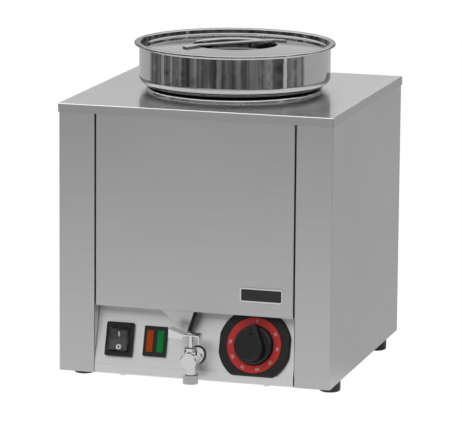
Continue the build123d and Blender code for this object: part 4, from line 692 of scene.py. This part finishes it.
def studio_world():
    """White to the camera; to metal and glass the backdrop, the dark room and the ceiling."""
    world = bpy.data.worlds.new("studio")
    bpy.context.scene.world = world
    world.use_nodes = True
    tree = world.node_tree
    tree.nodes.clear()
    rays = add(tree, "ShaderNodeLightPath")
    place = add(tree, "ShaderNodeTexCoord")
    across, back, z, _ = level_direction(tree, place.outputs["Generated"])
    front = math_node(tree, "MULTIPLY", back, -1.0)
    mapping = add(tree, "ShaderNodeMapping")
    mapping.inputs["Scale"].default_value = CLUTTER
    link(tree, place.outputs["Generated"], mapping.inputs["Vector"])
    clutter = add(tree, "ShaderNodeTexNoise", Scale=1.7, Detail=3.0, Roughness=0.55)
    link(tree, mapping.outputs["Vector"], clutter.inputs["Vector"])
    shelves = add(tree, "ShaderNodeMapping")
    shelves.inputs["Scale"].default_value = SHELVES
    link(tree, place.outputs["Generated"], shelves.inputs["Vector"])
    blocks = add(tree, "ShaderNodeTexVoronoi", distance="CHEBYCHEV", feature="F1", Scale=1.0, Randomness=0.9)
    link(tree, shelves.outputs["Vector"], blocks.inputs["Vector"])
    block = add(tree, "ShaderNodeSeparateColor")
    link(tree, blocks.outputs["Color"], block.inputs[0])
    room = remap(tree, clutter.outputs["Fac"], *CLUTTER_IN_ROOM, ROOM_DARK, ROOM_PALE)
    room = math_node(tree, "MULTIPLY", room, remap(tree, block.outputs[0], 0.1, 0.9, *SHELF_TONES))
    for azimuth, half_width, level in ROOM_STRIPS:
        turn = radians(azimuth)
        towards = math_node(tree, "ADD", math_node(tree, "MULTIPLY", across, sin(turn)),
                            math_node(tree, "MULTIPLY", front, cos(turn)))
        near = cos(radians(half_width))
        strip = remap(tree, towards, near - STRIP_EDGE[0], near + STRIP_EDGE[1], 0.0, level, smooth=True)
        room = math_node(tree, "ADD", room, strip)
    band = remap(tree, clutter.outputs["Fac"], *CLUTTER_BEHIND, BAND_DARK, BAND_PALE)
    from_middle = math_node(tree, "ADD", math_node(tree, "MULTIPLY", across, -sin(CAMERA_AZIMUTH)),
                            math_node(tree, "MULTIPLY", front, -cos(CAMERA_AZIMUTH)))
    paper = remap(tree, from_middle, cos(ROLL_EDGE[1]), cos(ROLL_EDGE[0]), 0.0, 1.0, smooth=True)
    beside = remap(tree, clutter.outputs["Fac"], *CLUTTER_BEHIND, BESIDE_DARK, BESIDE_PALE)
    upper = mixed(tree, paper, beside, BACKDROP)
    behind = mixed(tree, remap(tree, z, *BAND_TOP, 0.0, 1.0, smooth=True), band, upper)
    walls = mixed(tree, remap(tree, front, *ROOM_EDGE, 0.0, 1.0, smooth=True), behind, room)
    whole = mixed(tree, remap(tree, z, *CEILING_FROM, 0.0, 1.0, smooth=True), walls, CEILING)
    seen = add(tree, "ShaderNodeBackground", Strength=1.0)
    link(tree, grey_from(tree, whole), seen.inputs["Color"])
    fill = add(tree, "ShaderNodeBackground", Strength=FILL, Color=(1.0, 1.0, 1.0, 1.0))
    white = add(tree, "ShaderNodeBackground", Strength=1.0, Color=(1.0, 1.0, 1.0, 1.0))
    mirrors = math_node(tree, "MAXIMUM", rays.outputs["Is Glossy Ray"], rays.outputs["Is Transmission Ray"])
    first = add(tree, "ShaderNodeMixShader")
    link(tree, mirrors, first.inputs[0])
    link(tree, fill.outputs[0], first.inputs[1])
    link(tree, seen.outputs[0], first.inputs[2])
    second = add(tree, "ShaderNodeMixShader")
    link(tree, rays.outputs["Is Camera Ray"], second.inputs[0])
    link(tree, first.outputs[0], second.inputs[1])
    link(tree, white.outputs[0], second.inputs[2])
    output = add(tree, "ShaderNodeOutputWorld")
    link(tree, second.outputs[0], output.inputs["Surface"])


def floor_material():
    """Pale table: white to the camera, an even pale level to metal, and gone where the dark room starts."""
    material, tree, shader = new_material("pale_table")
    shader.inputs["Base Color"].default_value = (0.80, 0.80, 0.80, 1.0)
    shader.inputs["Roughness"].default_value = 0.9
    shader.inputs["Specular IOR Level"].default_value = 0.0
    output = tree.nodes["Material Output"]
    rays = add(tree, "ShaderNodeLightPath")
    white = add(tree, "ShaderNodeEmission", Strength=1.0)
    pale = add(tree, "ShaderNodeEmission")
    clear = add(tree, "ShaderNodeBsdfTransparent")
    mirrors = math_node(tree, "MAXIMUM", rays.outputs["Is Glossy Ray"], rays.outputs["Is Transmission Ray"])
    place = add(tree, "ShaderNodeTexCoord")
    _, back, _, length = level_direction(tree, place.outputs["Object"])
    far = remap(tree, length, *TABLE_END, 0.0, 1.0, smooth=True)
    forward = math_node(tree, "MULTIPLY", back, -1.0)
    front = remap(tree, forward, *ROOM_EDGE, 0.0, 1.0, smooth=True)
    level = remap(tree, forward, *TABLE_BRIGHTENS, TABLE_BACK, TABLE_FRONT, smooth=True)
    link(tree, level, pale.inputs["Strength"])
    mirrored = add(tree, "ShaderNodeMixShader")
    link(tree, math_node(tree, "MULTIPLY", far, front), mirrored.inputs[0])
    link(tree, pale.outputs[0], mirrored.inputs[1])
    link(tree, clear.outputs[0], mirrored.inputs[2])
    lit = add(tree, "ShaderNodeMixShader")
    link(tree, mirrors, lit.inputs[0])
    link(tree, shader.outputs[0], lit.inputs[1])
    link(tree, mirrored.outputs[0], lit.inputs[2])
    whole = add(tree, "ShaderNodeMixShader")
    link(tree, rays.outputs["Is Camera Ray"], whole.inputs[0])
    link(tree, lit.outputs[0], whole.inputs[1])
    link(tree, white.outputs[0], whole.inputs[2])
    link(tree, whole.outputs[0], output.inputs["Surface"])
    return material


def floor():
    mesh = bpy.data.meshes.new("table_top")
    made = bmesh.new()
    bmesh.ops.create_circle(made, cap_ends=True, radius=TABLE_R, segments=96)
    made.to_mesh(mesh)
    made.free()
    table = bpy.data.objects.new("table_top", mesh)
    bpy.context.scene.collection.objects.link(table)
    mesh.materials.append(floor_material())


def camera():
    back = Vector((
        sin(CAMERA_AZIMUTH) * cos(CAMERA_ELEVATION),
        -cos(CAMERA_AZIMUTH) * cos(CAMERA_ELEVATION),
        sin(CAMERA_ELEVATION),
    ))
    right = (-back).cross(Vector((0, 0, 1))).normalized()
    up = right.cross(-back)
    rolled_right = right * cos(CAMERA_ROLL) + up * sin(CAMERA_ROLL)
    rolled_up = up * cos(CAMERA_ROLL) - right * sin(CAMERA_ROLL)
    data = bpy.data.cameras.new("camera")
    data.sensor_width = SENSOR_WIDTH
    data.lens = FOCAL_PIXELS / IMAGE_WIDTH * SENSOR_WIDTH
    data.clip_end = 60.0
    made = bpy.data.objects.new("camera", data)
    bpy.context.scene.collection.objects.link(made)
    turn = Matrix((rolled_right, rolled_up, back)).transposed().to_4x4()
    made.matrix_world = Matrix.Translation(CAMERA_TARGET + back * CAMERA_DISTANCE) @ turn
    bpy.context.scene.camera = made


studio_world()
floor()
camera()
bpy.context.scene.view_settings.view_transform = "Standard"
